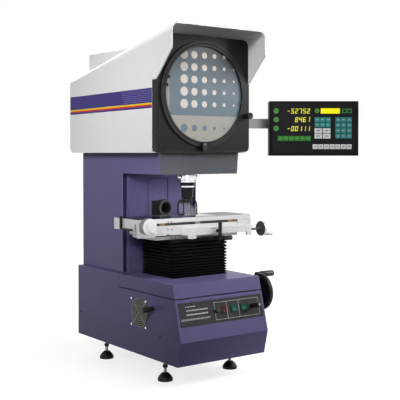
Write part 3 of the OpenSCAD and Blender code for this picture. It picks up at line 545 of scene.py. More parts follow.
# %% Tree: pleated sleeve, the zigzag and the height
RINGS_PER_PLEAT = 8.0
sleeve, gi = new_tree("Pleated sleeve", [
    ("Width", FLOAT, 0.2), ("Depth", FLOAT, 0.2), ("Corner", FLOAT, 0.007), ("Bottom", FLOAT, 0.0),
    ("Top", FLOAT, 0.1), ("Fold", FLOAT, 0.0066), ("Pleats", INT, 12)])
tube = add(sleeve, "GeometryNodeMeshCylinder", fill_type="NONE", Vertices=8, Radius=1.0, Depth=1.0)
wire(sleeve, calc(sleeve, "MULTIPLY", gi.outputs["Pleats"], RINGS_PER_PLEAT), tube.inputs["Side Segments"])
turned = add(sleeve, "GeometryNodeTransform", Rotation=(0.0, 0.0, math.radians(22.5)))
wire(sleeve, tube.outputs["Mesh"], turned.inputs["Geometry"])
corner = add(sleeve, "ShaderNodeSeparateXYZ")
wire(sleeve, add(sleeve, "GeometryNodeInputPosition").outputs[0], corner.inputs[0])
x, y, z = corner.outputs
up = calc(sleeve, "ADD", z, 0.5)
turn = calc(sleeve, "FRACT", calc(sleeve, "MULTIPLY_ADD", up, gi.outputs["Pleats"], 0.5))
zigzag = calc(sleeve, "ABSOLUTE", calc(sleeve, "MULTIPLY_ADD", turn, 2.0, -1.0))
zigzag = calc(sleeve, "MULTIPLY_ADD", zigzag, 4.0 / 3.0, -1.0 / 3.0, clamp=True)
inset = calc(sleeve, "MULTIPLY", zigzag, gi.outputs["Fold"])
opening = calc(sleeve, "MULTIPLY", up, calc(sleeve, "MULTIPLY_ADD", up, 0.25, 0.75))
tall = calc(sleeve, "SUBTRACT", gi.outputs["Top"], gi.outputs["Bottom"])
height = calc(sleeve, "MULTIPLY_ADD", opening, tall, gi.outputs["Bottom"])

# %% Tree: pleated sleeve, the box with cut corners
on_side = calc(sleeve, "LESS_THAN", calc(sleeve, "ABSOLUTE", y), calc(sleeve, "ABSOLUTE", x))
on_front = calc(sleeve, "SUBTRACT", 1.0, on_side)


def pulled_out(axis, full, cut):
    """Half the full size, less the fold and the cut corner, on the side the point is on."""
    half = calc(sleeve, "MULTIPLY_ADD", gi.outputs[full], 0.5, calc(sleeve, "MULTIPLY", inset, -1.0))
    half = calc(sleeve, "SUBTRACT", half, calc(sleeve, "MULTIPLY", cut, gi.outputs["Corner"]))
    return calc(sleeve, "MULTIPLY", calc(sleeve, "SIGN", axis), half)


ring = add(sleeve, "ShaderNodeCombineXYZ")
for value, socket in zip((pulled_out(x, "Width", on_front), pulled_out(y, "Depth", on_side), height), ring.inputs):
    wire(sleeve, value, socket)
moved = add(sleeve, "GeometryNodeSetPosition")
wire(sleeve, turned.outputs[0], moved.inputs["Geometry"])
wire(sleeve, ring.outputs[0], moved.inputs["Position"])
end_tree(sleeve, gi, moved.outputs[0])

# %% [markdown]
# The sleeve is made twice: once with pleats, and once unfolded for the plain band at the top.

# %% Pleats and the band at their top
pleats, fold_deep, corner_cut, skin_gap, band_tall = 12, 6.6, 7.0, 0.4, 8.0
bel_low, bel_high, bel_mid = box_mm("bellows")
bel_cx, bel_cy = bel_mid.x, bel_mid.y
band_low = bel_high.z - band_tall
sk = Sketch()
for low, high, fold, count in ((bel_low.z, band_low, fold_deep, pleats), (band_low, bel_high.z - 0.1, 0.0, 1)):
    mesh = tree_mesh(sleeve, {
        "Width": (bel_high.x - bel_low.x - 2 * skin_gap) * MM, "Depth": (bel_high.y - bel_low.y - 2 * skin_gap) * MM,
        "Corner": corner_cut * MM, "Bottom": low * MM, "Top": high * MM,
        "Fold": fold * MM, "Pleats": count, "Material": cloth})
    sk.add_mesh(mesh, (bel_cx, bel_cy, 0.0), cloth)
bellows = sk.done("bellows_skin", "lift", smooth=25)
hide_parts("bellows")
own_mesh(bellows)
print("bellows with", pleats, "pleats,", len(bellows.data.polygons), "faces")

# %% [markdown]
# ## The picture on the screen
# The ground glass shows the shadow of a test plate: rows of round bright spots that shrink to
# the right, and pale bands at the left and below. It is all done in the material, because the
# picture has no thickness. A floored division of the coordinates gives the cell of a grid, and
# the distance to the cell's centre gives the spot.

# %% Screen: cells and masks
screen_mat, t, p = base_material("Ground screen with shadow picture")
sx, _, sz = object_mm(t, screen_axis)
grid_left, grid_low, pitch_x, pitch_z = -97.0, -51.2, 39.3, 38.4


def cell(t, value, origin, pitch):
    """The number of the cell, and the distance to its centre."""
    k = calc(t, "DIVIDE", calc(t, "SUBTRACT", value, origin), pitch)
    index = calc(t, "FLOOR", k)
    inside = calc(t, "SUBTRACT", calc(t, "SUBTRACT", k, index), 0.5)
    return index, calc(t, "MULTIPLY", inside, pitch)


col, dx = cell(t, sx, grid_left, pitch_x)
_, dz = cell(t, sz, grid_low, pitch_z)


def disc(first, less, across, along):
    """A spot that shrinks from column to column."""
    size = calc(t, "MULTIPLY_ADD", col, -less, first)
    return window(t, calc(t, "SUBTRACT", size, radius(t, across, along)), 0.0, 100.0, 1.4)


def dark_row(height, first, less):
    return both(t, disc(first, less, dx, calc(t, "SUBTRACT", sz, height)), window(t, sx, grid_left, 99.0))


field = both(t, window(t, sx, grid_left, 141.0), window(t, sz, grid_low, 141.0))
bright_spot = both(t, disc(14.2, 2.15, dx, dz), field)
pale = either(t, window(t, sz, -200.0, -68.7, 1.2), window(t, sx, -200.0, -133.0, 1.2))
dark_spot = either(t, dark_row(-107.5, 12.8, 2.1), both(t, dark_row(-140.0, 6.0, 1.0), 0.6))

# %% Screen: colours
fog = add(t, "ShaderNodeTexNoise", Scale=14.0, Detail=2.0)
wire(t, add(t, "ShaderNodeTexCoord").outputs["Object"], fog.inputs["Vector"])
tone = blend(t, fog.outputs["Fac"], (0.066, 0.105, 0.132), (0.100, 0.143, 0.172))
# Painted shadow: the picture darkens towards the top right, where the hood shades the screen.
hood_shadow = ramp(t, calc(t, "ADD", sz, calc(t, "MULTIPLY", sx, 0.3)), 20.0, 150.0)
tone = blend(t, hood_shadow, tone, (0.026, 0.029, 0.037))
tone = blend(t, pale, tone, (0.285, 0.272, 0.252))
tone = blend(t, bright_spot, tone, (0.540, 0.500, 0.460))
tone = blend(t, dark_spot, tone, (0.100, 0.135, 0.180))
settings(p, Base_Color=tone, Emission_Color=tone, Emission_Strength=0.06, Roughness=0.45)
dress(nodes["screen_glass"], screen_mat)
print("screen picture ready")

# %% [markdown]
# ## Other glass
# Lens and stage glass are clear. The half mirror is mostly see-through, which a low alpha shows
# well enough on so thin a plate.

# %% Clear and half-silvered glass
clear, t, p = base_material("Clear glass")
settings(p, Base_Color=(0.86, 0.92, 0.94, 1.0), Transmission_Weight=0.9, Roughness=0.04, IOR=1.5)
half, t, p = base_material("Half-silvered glass")
settings(p, Base_Color=(0.62, 0.66, 0.70, 1.0), Roughness=0.05, Alpha=0.14)
dress(nodes["half_mirror"], half)
for name in ("objective_lens", "stage_glass"):
    dress(nodes[name], clear)
print("glass ready")

# %% [markdown]
# ## Materials that read the position
# Some CAD pieces are one solid but two materials: a screw thread above a rubber pad, a bright
# band on a black lens. These materials read the Object coordinates in millimetres and switch
# colour, gloss and metal with soft windows, so that no mesh has to be cut.

# %% Two looks in one material
def two_tone(node, name, mask_of, first, second, shine=None):
    """Dresses a node in two looks (colour, roughness, metallic); mask 1 shows the second."""
    m, t, p = base_material(name)
    mask = mask_of(t)
    rough, metallic = [calc(t, "MULTIPLY_ADD", mask, second[i] - first[i], first[i]) for i in (1, 2)]
    settings(p, Base_Color=blend(t, mask, first[0], second[0]), Roughness=rough, Metallic=metallic)
    if shine is not None:
        settings(p, Specular_IOR_Level=shine)
    dress(nodes[node], m)
    return t, p


def copy_on(node, material, name):
    """Dresses a node in a copy of a material, to be changed further."""
    m = material.copy()
    m.name = name
    dress(nodes[node], m)
    return m.node_tree, m.node_tree.nodes["Principled BSDF"]


def overlay(t, p, mask, color):
    """Lays another colour over a material where the mask is 1."""
    old = p.inputs["Base Color"].links[0].from_socket
    settings(p, Base_Color=blend(t, mask, old, color))


# %% [markdown]
# A knurl is a row of ridges round a knob. The angle about the axis, times the number of ridges,
# goes through a sine into a bump.

# %% Group: knurl
knurl, gi, go = new_group("Knurl", [("U", FLOAT, 0.0), ("V", FLOAT, 0.0), ("Count", FLOAT, 60.0), ("Mask", FLOAT, 1.0)],
                          [("Normal", VECTOR)])
angle = calc(knurl, "ARCTAN2", gi.outputs["U"], gi.outputs["V"])
ridge = calc(knurl, "SINE", calc(knurl, "MULTIPLY", angle, gi.outputs["Count"]))
bump = add(knurl, "ShaderNodeBump", Strength=0.7, Distance=0.5 * MM)
wire(knurl, calc(knurl, "MULTIPLY", ridge, gi.outputs["Mask"]), bump.inputs["Height"])
wire(knurl, bump.outputs["Normal"], go.inputs["Normal"])


def add_knurl(t, p, u, v, count, mask=1.0):
    k = group_node(t, knurl, U=u, V=v, Count=count, Mask=mask)
    settings(p, Normal=k.outputs["Normal"])


# %% [markdown]
# The objective is a black lens tube with chromed bands. The surface-light tube is black too, with
# a grey rim at its mouth that is partly a painted highlight on its front edge, and a knurl for the
# fingers.

# %% Objective and surface-light tube
BLACK, GREY, BRIGHT = (0.010, 0.010, 0.011), (0.12, 0.12, 0.12), (0.80, 0.80, 0.82)


def objective_bands(t):
    z = object_mm(t)[2]
    return either(t, window(t, z, 613.7, 660.0, 0.3), window(t, z, 597.4, 602.4, 0.3))


two_tone("objective_barrel", "Objective, black with bright bands", objective_bands,
         (BLACK, 0.16, 0.0), (BRIGHT, 0.1, 1.0), shine=0.08)


# Grey rim on the tube's mouth, partly a painted highlight on its front edge.
def tube_rim_and_highlight(t):
    x, y, z = object_mm(t, tube_axis)
    return both(t, window(t, y, -10.0, tube_low.y + 1.0, 0.2), window(t, radius(t, x, z), 22.2, 40.0, 0.2))


t, p = two_tone("surface_tube", "Surface tube, knurled", tube_rim_and_highlight,
                ((0.006, 0.006, 0.007), 0.38, 0.0), (GREY, 0.35, 0.0), shine=0.2)
x, y, z = object_mm(t, tube_axis)
add_knurl(t, p, x, z, 70.0, window(t, y, 15.5, 33.0, 0.5))
print("objective and tube have two looks each")

# %% [markdown]
# A levelling foot is a rubber pad on a threaded stud with a black lock nut. The thread is too
# fine to cut as a mesh, so a sine of the height drives a bump.

# %% Levelling feet
THREAD_PITCH = 1.5
pad_top, nut_low, nut_high = 25.6, 41.0, 50.0


def bare_stud(t):
    z = object_mm(t)[2]
    not_nut = calc(t, "SUBTRACT", 1.0, window(t, z, nut_low, nut_high, 0.2))
    return both(t, window(t, z, pad_top, 200.0, 0.2), not_nut)


t, p = two_tone("levelling_feet", "Rubber pad and steel stud", bare_stud,
                (BLACK, 0.42, 0.0), ((0.42, 0.40, 0.37), 0.32, 1.0), shine=0.2)
z = object_mm(t)[2]
thread = calc(t, "SINE", calc(t, "MULTIPLY", z, 2.0 * math.pi / THREAD_PITCH))
groove = add(t, "ShaderNodeBump", Strength=0.6, Distance=0.6 * MM)
wire(t, both(t, thread, window(t, z, pad_top + 0.9, 200.0, 0.3)), groove.inputs["Height"])
settings(p, Normal=groove.outputs["Normal"])
print("feet have a thread of", THREAD_PITCH, "mm pitch")

# %% [markdown]
# The long-travel wheel and its white grip are bright in front and dark at the back: the dark back
# is painted shade on the wheel's inner side.

# %% Long-travel wheel and grip
wheel_back_x = 256.5
SHADE_ON_BACK = ((0.075, 0.075, 0.08), 0.4, 0.3)


# Painted shade: the inner side of the wheel and the back of the grip are darker.
def shaded_wheel_side(t):
    return window(t, object_mm(t)[0], 200.0, wheel_back_x, 0.2)


two_tone("x_handwheel", "Long-travel wheel", shaded_wheel_side, ((0.66, 0.66, 0.67), 0.35, 0.6), SHADE_ON_BACK)
two_tone("x_handle", "White grip, painted shade at the back", shaded_wheel_side, ((0.78, 0.78, 0.77), 0.3, 0.0), SHADE_ON_BACK)
print("long-travel wheel and grip dressed")

# %% [markdown]
# The stage table is milled at its sides and ground at its top, so the top mirrors more. The slot
# for the drive rod is painted dark as shade, on the table and on the cross slide.

# %% Stage table and cross slide
# Painted shade: the colour that darkens the rod slot, where the table shades it.
SLOT_SHADE = (0.012, 0.012, 0.013)


def table_top(t):
    return window(t, facing_up_part(t), 0.8, 2.0, 0.1)


def rod_slot_shade(t):
    x, y, z = object_mm(t)
    long = both(t, window(t, x, -152.0, 163.0, 0.5), window(t, y, -171.0, -120.0, 0.5))
    return both(t, long, window(t, z, 470.5, 490.0, 0.5))


t, p = two_tone("x_table", "Stage table, ground top", table_top,
                ((0.62, 0.62, 0.63), 0.42, 0.3), ((0.42, 0.42, 0.44), 0.16, 1.0))
settings(p, Specular_Tint=(0.35, 0.35, 0.36, 1.0))
overlay(t, p, rod_slot_shade(t), SLOT_SHADE)
t, p = copy_on("y_saddle", alu, "Cross slide, painted shade in the slot")
overlay(t, p, rod_slot_shade(t), SLOT_SHADE)
print("table and cross slide dressed")

# %% [markdown]
# Painted shade: a narrow band of the panel's paint is darkened beside and above the raised cover
# plate on the column, where the plate's shadow falls.

# %% Column panel
# Painted shade round the cover plate: the mask of the darkened band.
def shade_beside_plate(t):
    x, y, z = object_mm(t)
    right = window(t, x, cover_high.x + 6.5, cover_high.x + 11.0, 0.6)
    left = window(t, x, cover_low.x - 2.0, cover_low.x, 0.5)
    sides = both(t, either(t, right, left), window(t, z, 330.0, cover_high.z + 3.0, 0.6))
    along = window(t, x, cover_low.x - 2.0, cover_high.x + 11.0, 0.6)
    above = both(t, window(t, z, cover_high.z + 0.5, cover_high.z + 3.0, 0.6), along)
    return both(t, either(t, sides, above), 0.75)


t, p = copy_on("column_panel", violet, "Violet paint, painted shade beside the cover")
overlay(t, p, shade_beside_plate(t), (0.016, 0.014, 0.030))
print("column panel dressed")

# %% [markdown]
# The cross-travel drum has a knurled side, painted darker grey as its shade. The screws are black,
# but those that hold the fan guard are plated, so their mask is the place of the fan.

# %% Cross-travel drum and screws
# Painted shade: the drum's knurled side is darker than its face.
def shaded_drum_side(t):
    x, y, z = object_mm(t, drum_axis)
    return both(t, window(t, y, -199.0, -176.0, 0.3), window(t, radius(t, x, z), 23.0, 40.0, 0.2))


t, p = two_tone("y_handwheel", "Short-travel drum", shaded_drum_side,
                ((0.68, 0.68, 0.69), 0.35, 0.3), ((0.24, 0.24, 0.25), 0.35, 0.7))
x, y, z = object_mm(t, drum_axis)
add_knurl(t, p, x, z, 80.0, window(t, y, -197.5, -179.0, 0.3))


def fan_corner(t):
    x, y, z = object_mm(t, (0.0, fan_mid.y, fan_mid.z))
    near = both(t, window(t, y, -60.0, 60.0), window(t, z, -60.0, 60.0))
    return both(t, near, window(t, x, -200.0, -150.0))


two_tone("m4_screws", "Screws, black or plated", fan_corner, (BLACK, 0.3, 0.3), ((0.66, 0.66, 0.67), 0.25, 1.0))
print("drum and screws dressed")

# %% [markdown]
# A groove is turned into the screen ring; its darker colour is painted shade. Two knobs are
# moulded with a knurl.

# %% Screen ring and knobs
groove_in, groove_out = 157.0, 160.0


# The groove's mask: it dents the bump and paints the groove darker as shade.
def ring_groove_and_shade(t, soft=0.4):
    x, y, z = object_mm(t, screen_axis)
    return window(t, radius(t, x, z), groove_in, groove_out, soft)


t, p = two_tone("screen_ring", "Screen ring", ring_groove_and_shade,
                ((0.014, 0.014, 0.015), 0.35, 0.0), ((0.003, 0.003, 0.003), 0.6, 0.0), shine=0.2)
dip = add(t, "ShaderNodeBump", Strength=1.0, Distance=1.0 * MM, invert=True)
wire(t, ring_groove_and_shade(t, 0.8), dip.inputs["Height"])
settings(p, Normal=dip.outputs["Normal"])

for name, count, across in (("screen_knob", 36.0, (0, 2)), ("lamp_knob", 30.0, (1, 2))):
    t, p = copy_on(name, plastic, "Knurled plastic, " + name.replace("_", " "))
    xyz = object_mm(t, box_mm(name)[2])
    add_knurl(t, p, xyz[across[0]], xyz[across[1]], count)
print("ring and knobs dressed")

# %% [markdown]
# ## Grids of small blocks
# Keys, tick marks and hatching are grids of one small block. One tree makes them all: a grid of
# points with a block on each point.

# %% Tree: grid of blocks
blocks, gi = new_tree("Grid of blocks", [
    ("Columns", INT, 3), ("Rows", INT, 2), ("Width", FLOAT, 0.03), ("Height", FLOAT, 0.02),
    ("Block", VECTOR, (0.008, 0.008, 0.001)), ("Lean", FLOAT, 0.0)])
points, cube = add(blocks, "GeometryNodeMeshGrid"), add(blocks, "GeometryNodeMeshCube")
put, lean = add(blocks, "GeometryNodeInstanceOnPoints"), add(blocks, "ShaderNodeCombineXYZ")
join(blocks, (gi, "Width", points, "Size X"), (gi, "Height", points, "Size Y"),
     (gi, "Columns", points, "Vertices X"), (gi, "Rows", points, "Vertices Y"),
     (gi, "Block", cube, "Size"), (gi, "Lean", lean, "Z"), (lean, 0, put, "Rotation"),
     (points, "Mesh", put, "Points"), (cube, "Mesh", put, "Instance"))
end_tree(blocks, gi, put.outputs[0])


def add_grid(sk, lo, hi, columns, rows, share, thick, material, base=0.0, lean=0.0):
    """Fills the rectangle lo-hi (local x, y) with blocks that cover a share of their cells."""
    w, h = (hi[0] - lo[0]) / columns, (hi[1] - lo[1]) / rows
    mesh = tree_mesh(blocks, {
        "Columns": columns, "Rows": rows, "Width": (columns - 1) * w * MM, "Height": (rows - 1) * h * MM,
        "Block": (share[0] * w * MM, share[1] * h * MM, thick * MM), "Lean": lean, "Material": material})
    sk.add_mesh(mesh, ((lo[0] + hi[0]) / 2, (lo[1] + hi[1]) / 2, base + thick / 2), material)


# %% [markdown]
# ## Readout face
# The readout has a sealed membrane with raised key fields, a window with three rows of digits
# and a lit display. All of it is drawn flat, x along the face and y up. Digits and display glow
# a little, so they stay legible in any light.

# %% Readout colours
def ink(name, color):
    return paint(name, color, 0.5, 700.0, 0.0, 0.1, 0.0, dusty=0.0)


face_black = paint("Readout membrane", (0.009, 0.0085, 0.011), 0.4, 700.0, 0.1, 0.1, 0.05, dusty=0.0, shine=0.1)
window_black = paint("Readout window", (0.014, 0.0135, 0.016), 0.25, 700.0, 0.05, 0.1, 0.03, dusty=0.0, shine=0.1)
key_green = moulded("Green key", (0.035, 0.220, 0.030))
key_rim = moulded("Pale green rim", (0.085, 0.300, 0.075))
key_teal = moulded("Teal key", (0.030, 0.245, 0.245))
key_white = moulded("White key", (0.72, 0.72, 0.72), 0.02)
print_pale = ink("Pale print", (0.46, 0.52, 0.53))
print_dark = ink("Dark print", (0.10, 0.10, 0.11))
print_white = ink("White print", (0.62, 0.62, 0.62))
lcd = glow("Yellow display", (0.90, 0.82, 0.0), 0.35)
segment = glow("Digit segment", (0.66, 0.70, 0.01), 0.6)
print("readout colours ready")

# %% Readout keys and windows
KEY_TALL, MARK_TALL = 1.2, 0.08
sk = Sketch(readout_face)


def keys(lo, hi, columns, rows, material, mark, size=(0.4, 0.16)):
    add_grid(sk, lo, hi, columns, rows, (0.9, 0.9), KEY_TALL, material)
    add_grid(sk, lo, hi, columns, rows, size, MARK_TALL, mark, base=KEY_TALL)


sk.box((13.0, 9.0, 0.0), (293.0, 178.0, 0.15), face_black)
sk.box((37.0, 82.0, 0.1), (146.0, 172.0, 0.3), window_black)
sk.box((176.2, 144.1, 0.1), (241.9, 162.5, 0.6), lcd)
keys((28.9, 50.5), (142.7, 68.3), 6, 1, key_green, key_rim, (0.55, 0.12))
keys((154.7, 96.7), (211.1, 132.5), 3, 2, key_teal, print_pale)
keys((153.7, 58.1), (211.1, 95.0), 2, 2, key_white, print_dark)
keys((225.7, 58.6), (283.3, 132.5), 3, 4, key_teal, print_pale)
keys((148.0, 22.0), (283.1, 40.1), 7, 1, key_white, print_dark)
keys((248.4, 145.2), (283.1, 161.8), 2, 1, key_green, black, (0.5, 0.5))
for x, y, r in ((24.0, 153.3, 8.8), (24.2, 123.3, 8.8), (23.5, 93.7, 8.8), (164.0, 153.8, 8.0)):
    inner = r * 0.62
    sk.lathe([(0, 1.3), (inner, 1.3), (inner, 1.0)], key_green, at=(x, y, 0), n=32)
    sk.lathe([(inner, 1.0), (r * 0.7, 1.3), (r - 0.5, 1.3), (r, 0.9), (r, 0.0)], key_rim, at=(x, y, 0), n=32)

# %% [markdown]
# A digit is up to seven bars, named a to g from the top round to the middle one. Each sign lists
# the bars that are lit.

# %% Seven-segment digits
bars = {"0": "abcdef", "1": "bc", "2": "abged", "4": "fgbc", "5": "afgcd", "6": "afgedc", "7": "abc",
        "8": "abcdefg", "-": "g"}
DIGIT_STEP, LAST_DIGIT_X, WINDOW_FACE = 13.5, 128.6, 0.3


def digit(sign, x, y, w=9.4, h=16.6, b=2.1, lean=0.13):
    """Draws one sign as slanted bars, lower left corner at x, y."""
    m, e = h / 2, 0.35
    spans = {"a": (0, h - b, w, h), "d": (0, 0, w, b), "g": (b * 0.6, m - b / 2, w - b * 0.6, m + b / 2),
             "f": (0, m + e, b, h - e), "b": (w - b, m + e, w, h - e), "e": (0, e, b, m - e), "c": (w - b, e, w, m - e)}
    for key in bars[sign]:
        x0, y0, x1, y1 = spans[key]
        corners = ((x0, y0), (x1, y0), (x1, y1), (x0, y1))
        outline = [(x + px + lean * py, y + py, WINDOW_FACE) for px, py in corners]
        sk.sheet(outline, (0, 0, MARK_TALL), segment)


for row, y in (("-52752", 144.5), ("8461", 115.2), ("-00111", 84.5)):
    for k, sign in enumerate(reversed(row)):
        digit(sign, LAST_DIGIT_X - DIGIT_STEP * k, y)
sk.done("readout_face", "display")

# %% [markdown]
# ## Print on the control panel
# Screen print is a film of ink, so it is drawn as flat boxes of a tenth of a millimetre: a frame
# round the switches, and plain hatching beside it.

# %% Control panel print
INK_TALL, LINE_WIDE = 0.1, 0.9
sk = Sketch(on_slope(0.0, 0.0))


def stroke(x0, s0, x1, s1):
    """A level or upright line between two points (x, s), s down the slope."""
    w = LINE_WIDE / 2
    sk.box((min(x0, x1) - w, -max(s0, s1) - w, 0.0), (max(x0, x1) + w, -min(s0, s1) + w, INK_TALL), print_white)


frame_left, frame_right, frame_top, frame_low = -27, 147.5, 20, 73
for s in (frame_top, frame_low):
    stroke(frame_left, s, frame_right, s)
for x in (frame_left, frame_right, 19.7, 66.4):
    stroke(x, frame_top, x, frame_low)
add_grid(sk, (-157.0, -64.5), (-47.0, -58.0), 28, 1, (0.34, 1.0), INK_TALL, print_white, lean=-0.5)
for x0, x1, s, h in ((-136, -98, 23.0, 2.4), (-134, -53, 34.5, 3.6), (-135, -54, 47.0, 4.4)):
    add_grid(sk, (x0, -s - h / 2), (x1, -s + h / 2), int((x1 - x0) / 5), 1, (0.66, 1.0), INK_TALL, print_white)
sk.done("panel_print", "frame")

dimmer_x, dimmer_s, dimmer_tall = 118.0, 45.0, 42.0
sk = Sketch(on_slope(dimmer_x, dimmer_s, dimmer_tall))
sk.lathe([(0, 0.25), (3.2, 0.25), (3.5, 0.0)], print_pale, n=32)
sk.done("dimmer_cap", "dimmer")

# %% [markdown]
# ## Stripe on the head
# A printed film runs along the left side: dark violet with a comb of pale lines, then yellow and
# red below. The film is one thin sheet, and its bands are masks over the height above its lower
# edge, which falls a little towards the back.

# %% Stripe material
stripe, t, p = base_material("Head stripe print")
STRIPE_VIOLET = (0.034, 0.023, 0.180)
x, y, z = object_mm(t)
v = calc(t, "SUBTRACT", z, calc(t, "MULTIPLY_ADD", y, -0.0063, 845.2))
wave = calc(t, "MULTIPLY_ADD", calc(t, "SINE", calc(t, "MULTIPLY", y, 0.11)), 1.1, v)
comb = calc(t, "FRACT", calc(t, "DIVIDE", wave, 6.4))
comb_end = calc(t, "MULTIPLY_ADD", v, 0.45, -36.0)
front = window(t, calc(t, "SUBTRACT", comb_end, y), 0.0, 900.0, 4.0)
combed = both(t, both(t, window(t, comb, 0.4, 0.56, 0.04), front), window(t, v, 20.0, 60.0, 0.6))
tone = blend(t, combed, STRIPE_VIOLET, (0.230, 0.220, 0.430))
for low, high, color in ((11.0, 16.4, (0.860, 0.560, 0.010)), (6.2, 11.0, (0.640, 0.020, 0.020)),
                         (-5.0, 6.2, STRIPE_VIOLET)):
    tone = blend(t, window(t, v, low, high, 0.3), tone, color)
settings(p, Base_Color=tone, Roughness=0.4, Specular_IOR_Level=0.15)

# %% Stripe film
back, ahead = 338.0, -190.5
sk = Sketch()
sk.sheet([(head_left, back, 843.1), (head_left, ahead, 846.4), (head_left, ahead, 908.1), (head_left, back, 905.8)],
         (-0.12, 0, 0), stripe)
sk.done("head_stripe", "frame")

# %% [markdown]
# ## Small parts
# The index plate under the screen has short tick marks. Pan-head screws show a cross slot, drawn
# as two thin dark bars on each head: painted shade for the recess of the slot. The stage has small
# sunk screws on each of its plates.

# %% Index plate
index_front = box_mm("vernier_block")[0].y
sk = Sketch(place(0.0, index_front, 0.0, UPRIGHT))
sk.box((-15.5, 714.5, 0.0), (-1.5, 740.5, 0.4), panel_grey)
add_grid(sk, (-14.5, 733.0), (-2.5, 739.0), 9, 1, (0.25, 1.0), MARK_TALL, print_pale, base=0.4)
sk.done("index_plate", "frame")

# %% Screw slots, drawn as painted shade
slot_long, slot_wide, head_tall = 2.3, 0.45, 2.38
heads = [place(x, face_front, z, UPRIGHT) for x in (-166.0, 166.0) for z in (732.0, 1064.0)]
facing_left = Matrix.Rotation(-math.pi / 2, 4, "Y")
heads += [place(base_left, y, z, facing_left) for y, z in ((-213.5, 148.0), (291.0, 149.0))]
heads += [on_slope(x, s) for x in (-155.0, 0.0, 155.0) for s in (14.5, 77.5)]
# Painted shade: dark bars on each head stand for the shade in the slot.
sk = Sketch()
for head in heads:
    sk.place = head
    for a, b in ((slot_long, slot_wide), (slot_wide, slot_long)):
        sk.box((-a, -b, head_tall), (a, b, head_tall + MARK_TALL), rubber)
sk.done("screw_slot_shade", "frame")

# %% Stage screws
slide_front = -172.0
sunk_screw = [(0, 0.1), (1.6, 0.1), (1.6, -0.3), (2.8, -0.3), (3.0, 0.0)]
for body, y, spots in (("table", table_front, ((-112.5, 493.5), (-100.0, 493.0))),
                       ("cross_slide", slide_front, ((-111.0, 469.0), (-97.0, 468.4))),
                       ("lift", base_plate_front, ((-88.8, 441.5), (-74.4, 441.5)))):
    sk = Sketch()
    for x, z in spots:
        sk.lathe(sunk_screw, iron, axis="y", at=(x, y, z), n=24)
    sk.done("stage_screws_" + body, body, smooth=40)

# %% [markdown]
# A thin black strip under the front wall of the cross slide is painted shade for the shadow line
# there. Beside the surface-light tube, a clamp cheek holds it on the cover plate; its inner side
# follows the tube's collar.

# %% Shadow strip and clamp cheek
sk = Sketch()
# Painted shade: a black strip stands for the shadow under the cross slide.
sk.box((-160.0, slide_front - 0.15, 447.3), (-60.0, slide_front, 450.3), rubber)
sk.done("slide_shadow_strip", "cross_slide")

cheek_reach, cheek_half, cheek_thick, arc_steps = 37.0, 24.0, 19.0, 16
bore = tube_high.x + 0.6
end = math.asin(cheek_half / bore)
angles = [end - 2.0 * end * k / arc_steps for k in range(arc_steps + 1)]
outline = [(-cheek_reach, -cheek_half, 0.0), (-cheek_reach, cheek_half, 0.0)]
outline += [(-bore * math.cos(a), bore * math.sin(a), 0.0) for a in angles]
sk = Sketch(place(0.0, cover_low.y, tube_mid.z, UPRIGHT))
sk.sheet(outline, (0.0, 0.0, cheek_thick), rubber)
sk.done("tube_cheek", "frame", bevel=1.5)

# %% [markdown]
# ## Camera
# The camera was solved from edges of the object, so its place and lens are fixed numbers. A lens
# shift keeps the verticals upright while the object sits low in the frame.

# %% Camera
cam = bpy.data.objects.new("Camera", bpy.data.cameras.new("Camera"))
scene.collection.objects.link(cam)
scene.camera = cam
cam.data.sensor_width = 36.0
cam.data.lens = 76.75
cam.data.shift_x = 0.001
cam.data.shift_y = -0.0786
cam.data.clip_end = 60.0
cam.location = (-1.6089, -2.3772, 0.7083)
cam.rotation_euler = (math.radians(90.0 - 1.043), 0.0, math.radians(-36.306))
print("camera at", tuple(round(v, 2) for v in cam.location))

# %% [markdown]
# ## World
# The backdrop is white to the camera, and also in mirrors and glass. For the light that falls on
# the object, the world is a dim grey, so that colours render as they are written.

# %% World
world = scene.world or bpy.data.worlds.new("World")
scene.world = world
world.use_nodes = True
dim_level, dim_rise = 0.12, 0.04


def seen_directly(t):
    """1 for rays that show the background itself: straight, mirrored or through glass."""
    path = add(t, "ShaderNodeLightPath")
    straight = either(t, path.outputs["Is Camera Ray"], path.outputs["Is Glossy Ray"])
    return either(t, straight, path.outputs["Is Transmission Ray"])


t = world.node_tree
sky = t.nodes["Background"]
xyz = add(t, "ShaderNodeSeparateXYZ")
wire(t, add(t, "ShaderNodeTexCoord").outputs["Generated"], xyz.inputs[0])
dome = calc(t, "MULTIPLY_ADD", calc(t, "MAXIMUM", xyz.outputs["Z"], 0.0), dim_rise, dim_level)
seen = seen_directly(t)
level = calc(t, "ADD", seen, both(t, calc(t, "SUBTRACT", 1.0, seen), dome))
settings(sky, Color=(1.0, 1.0, 1.0, 1.0), Strength=level)
print("world ready")


# %% [markdown]
# ## Lamps
# A big key lamp above the front, one from the right, a narrower one for the left side, a small
# low one that reaches into the recess under the neck, and one from behind.

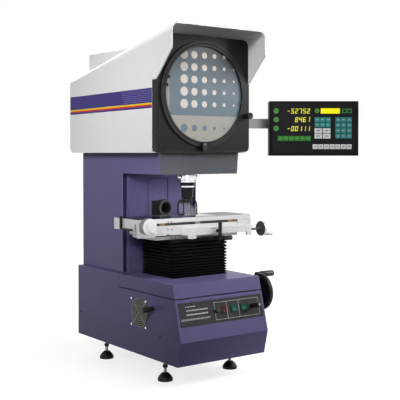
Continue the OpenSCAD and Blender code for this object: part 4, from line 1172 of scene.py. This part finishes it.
# %% Lamps
def area(name, spot, aim, size, power, spread=180.0):
    light = bpy.data.lights.new(name, "AREA")
    light.spread = math.radians(spread)
    light.size = size
    light.energy = power
    obj = bpy.data.objects.new(name, light)
    obj.location = spot
    obj.rotation_euler = (Vector(aim) - Vector(spot)).to_track_quat("-Z", "Y").to_euler()
    scene.collection.objects.link(obj)
    print("lamp:", name, power, "W")


area("Key", (0.1, -1.6, 3.0), (0.0, -0.2, 0.5), 1.2, 30.0)
area("Left", (-2.1, -1.5, 1.75), (-0.15, 0.05, 0.83), 0.8, 3.7, 36.0)
area("Right", (1.9, -1.5, 1.5), (0.0, -0.1, 0.5), 0.8, 38.0)
area("Recess", (-0.9, -1.1, 0.62), (0.055, 0.044, 0.56), 0.12, 0.06, 9.0)
area("Back", (0.9, 2.8, 1.9), (0.0, 0.2, 0.6), 1.2, 22.0)

# %% [markdown]
# ## Floor
# The floor keeps the object's shadow near the feet and turns to plain white further out, by a
# glow that only the seen rays get. To other rays it is dark, so it throws no light back up.

# %% Floor
FLOOR_HALF = 12
floor_mat, t, p = base_material("White floor")
seen = seen_directly(t)
tone = blend(t, seen, (0.05, 0.05, 0.05), (0.45, 0.45, 0.45))
settings(p, Base_Color=tone, Roughness=0.8, Specular_IOR_Level=0.0, Emission_Color=(1.0, 1.0, 1.0, 1.0))
x, y, z = object_mm(t)
far = add(t, "ShaderNodeMapRange", interpolation_type="SMOOTHSTEP",
          **{"From Min": 350.0, "From Max": 1400.0, "To Min": 0.78, "To Max": 1.0})
wire(t, radius(t, x, y), far.inputs["Value"])
settings(p, Emission_Strength=both(t, seen, far.outputs[0]))
floor_mesh = bpy.data.meshes.new("Floor")
square = [(a * FLOOR_HALF, b * FLOOR_HALF, 0) for a, b in ((-1, -1), (1, -1), (1, 1), (-1, 1))]
floor_mesh.from_pydata(square, [], [(0, 1, 2, 3)])
floor = bpy.data.objects.new("Floor", floor_mesh)
scene.collection.objects.link(floor)
dress(floor, floor_mat)
scene.view_settings.view_transform = "Standard"
print("floor ready")
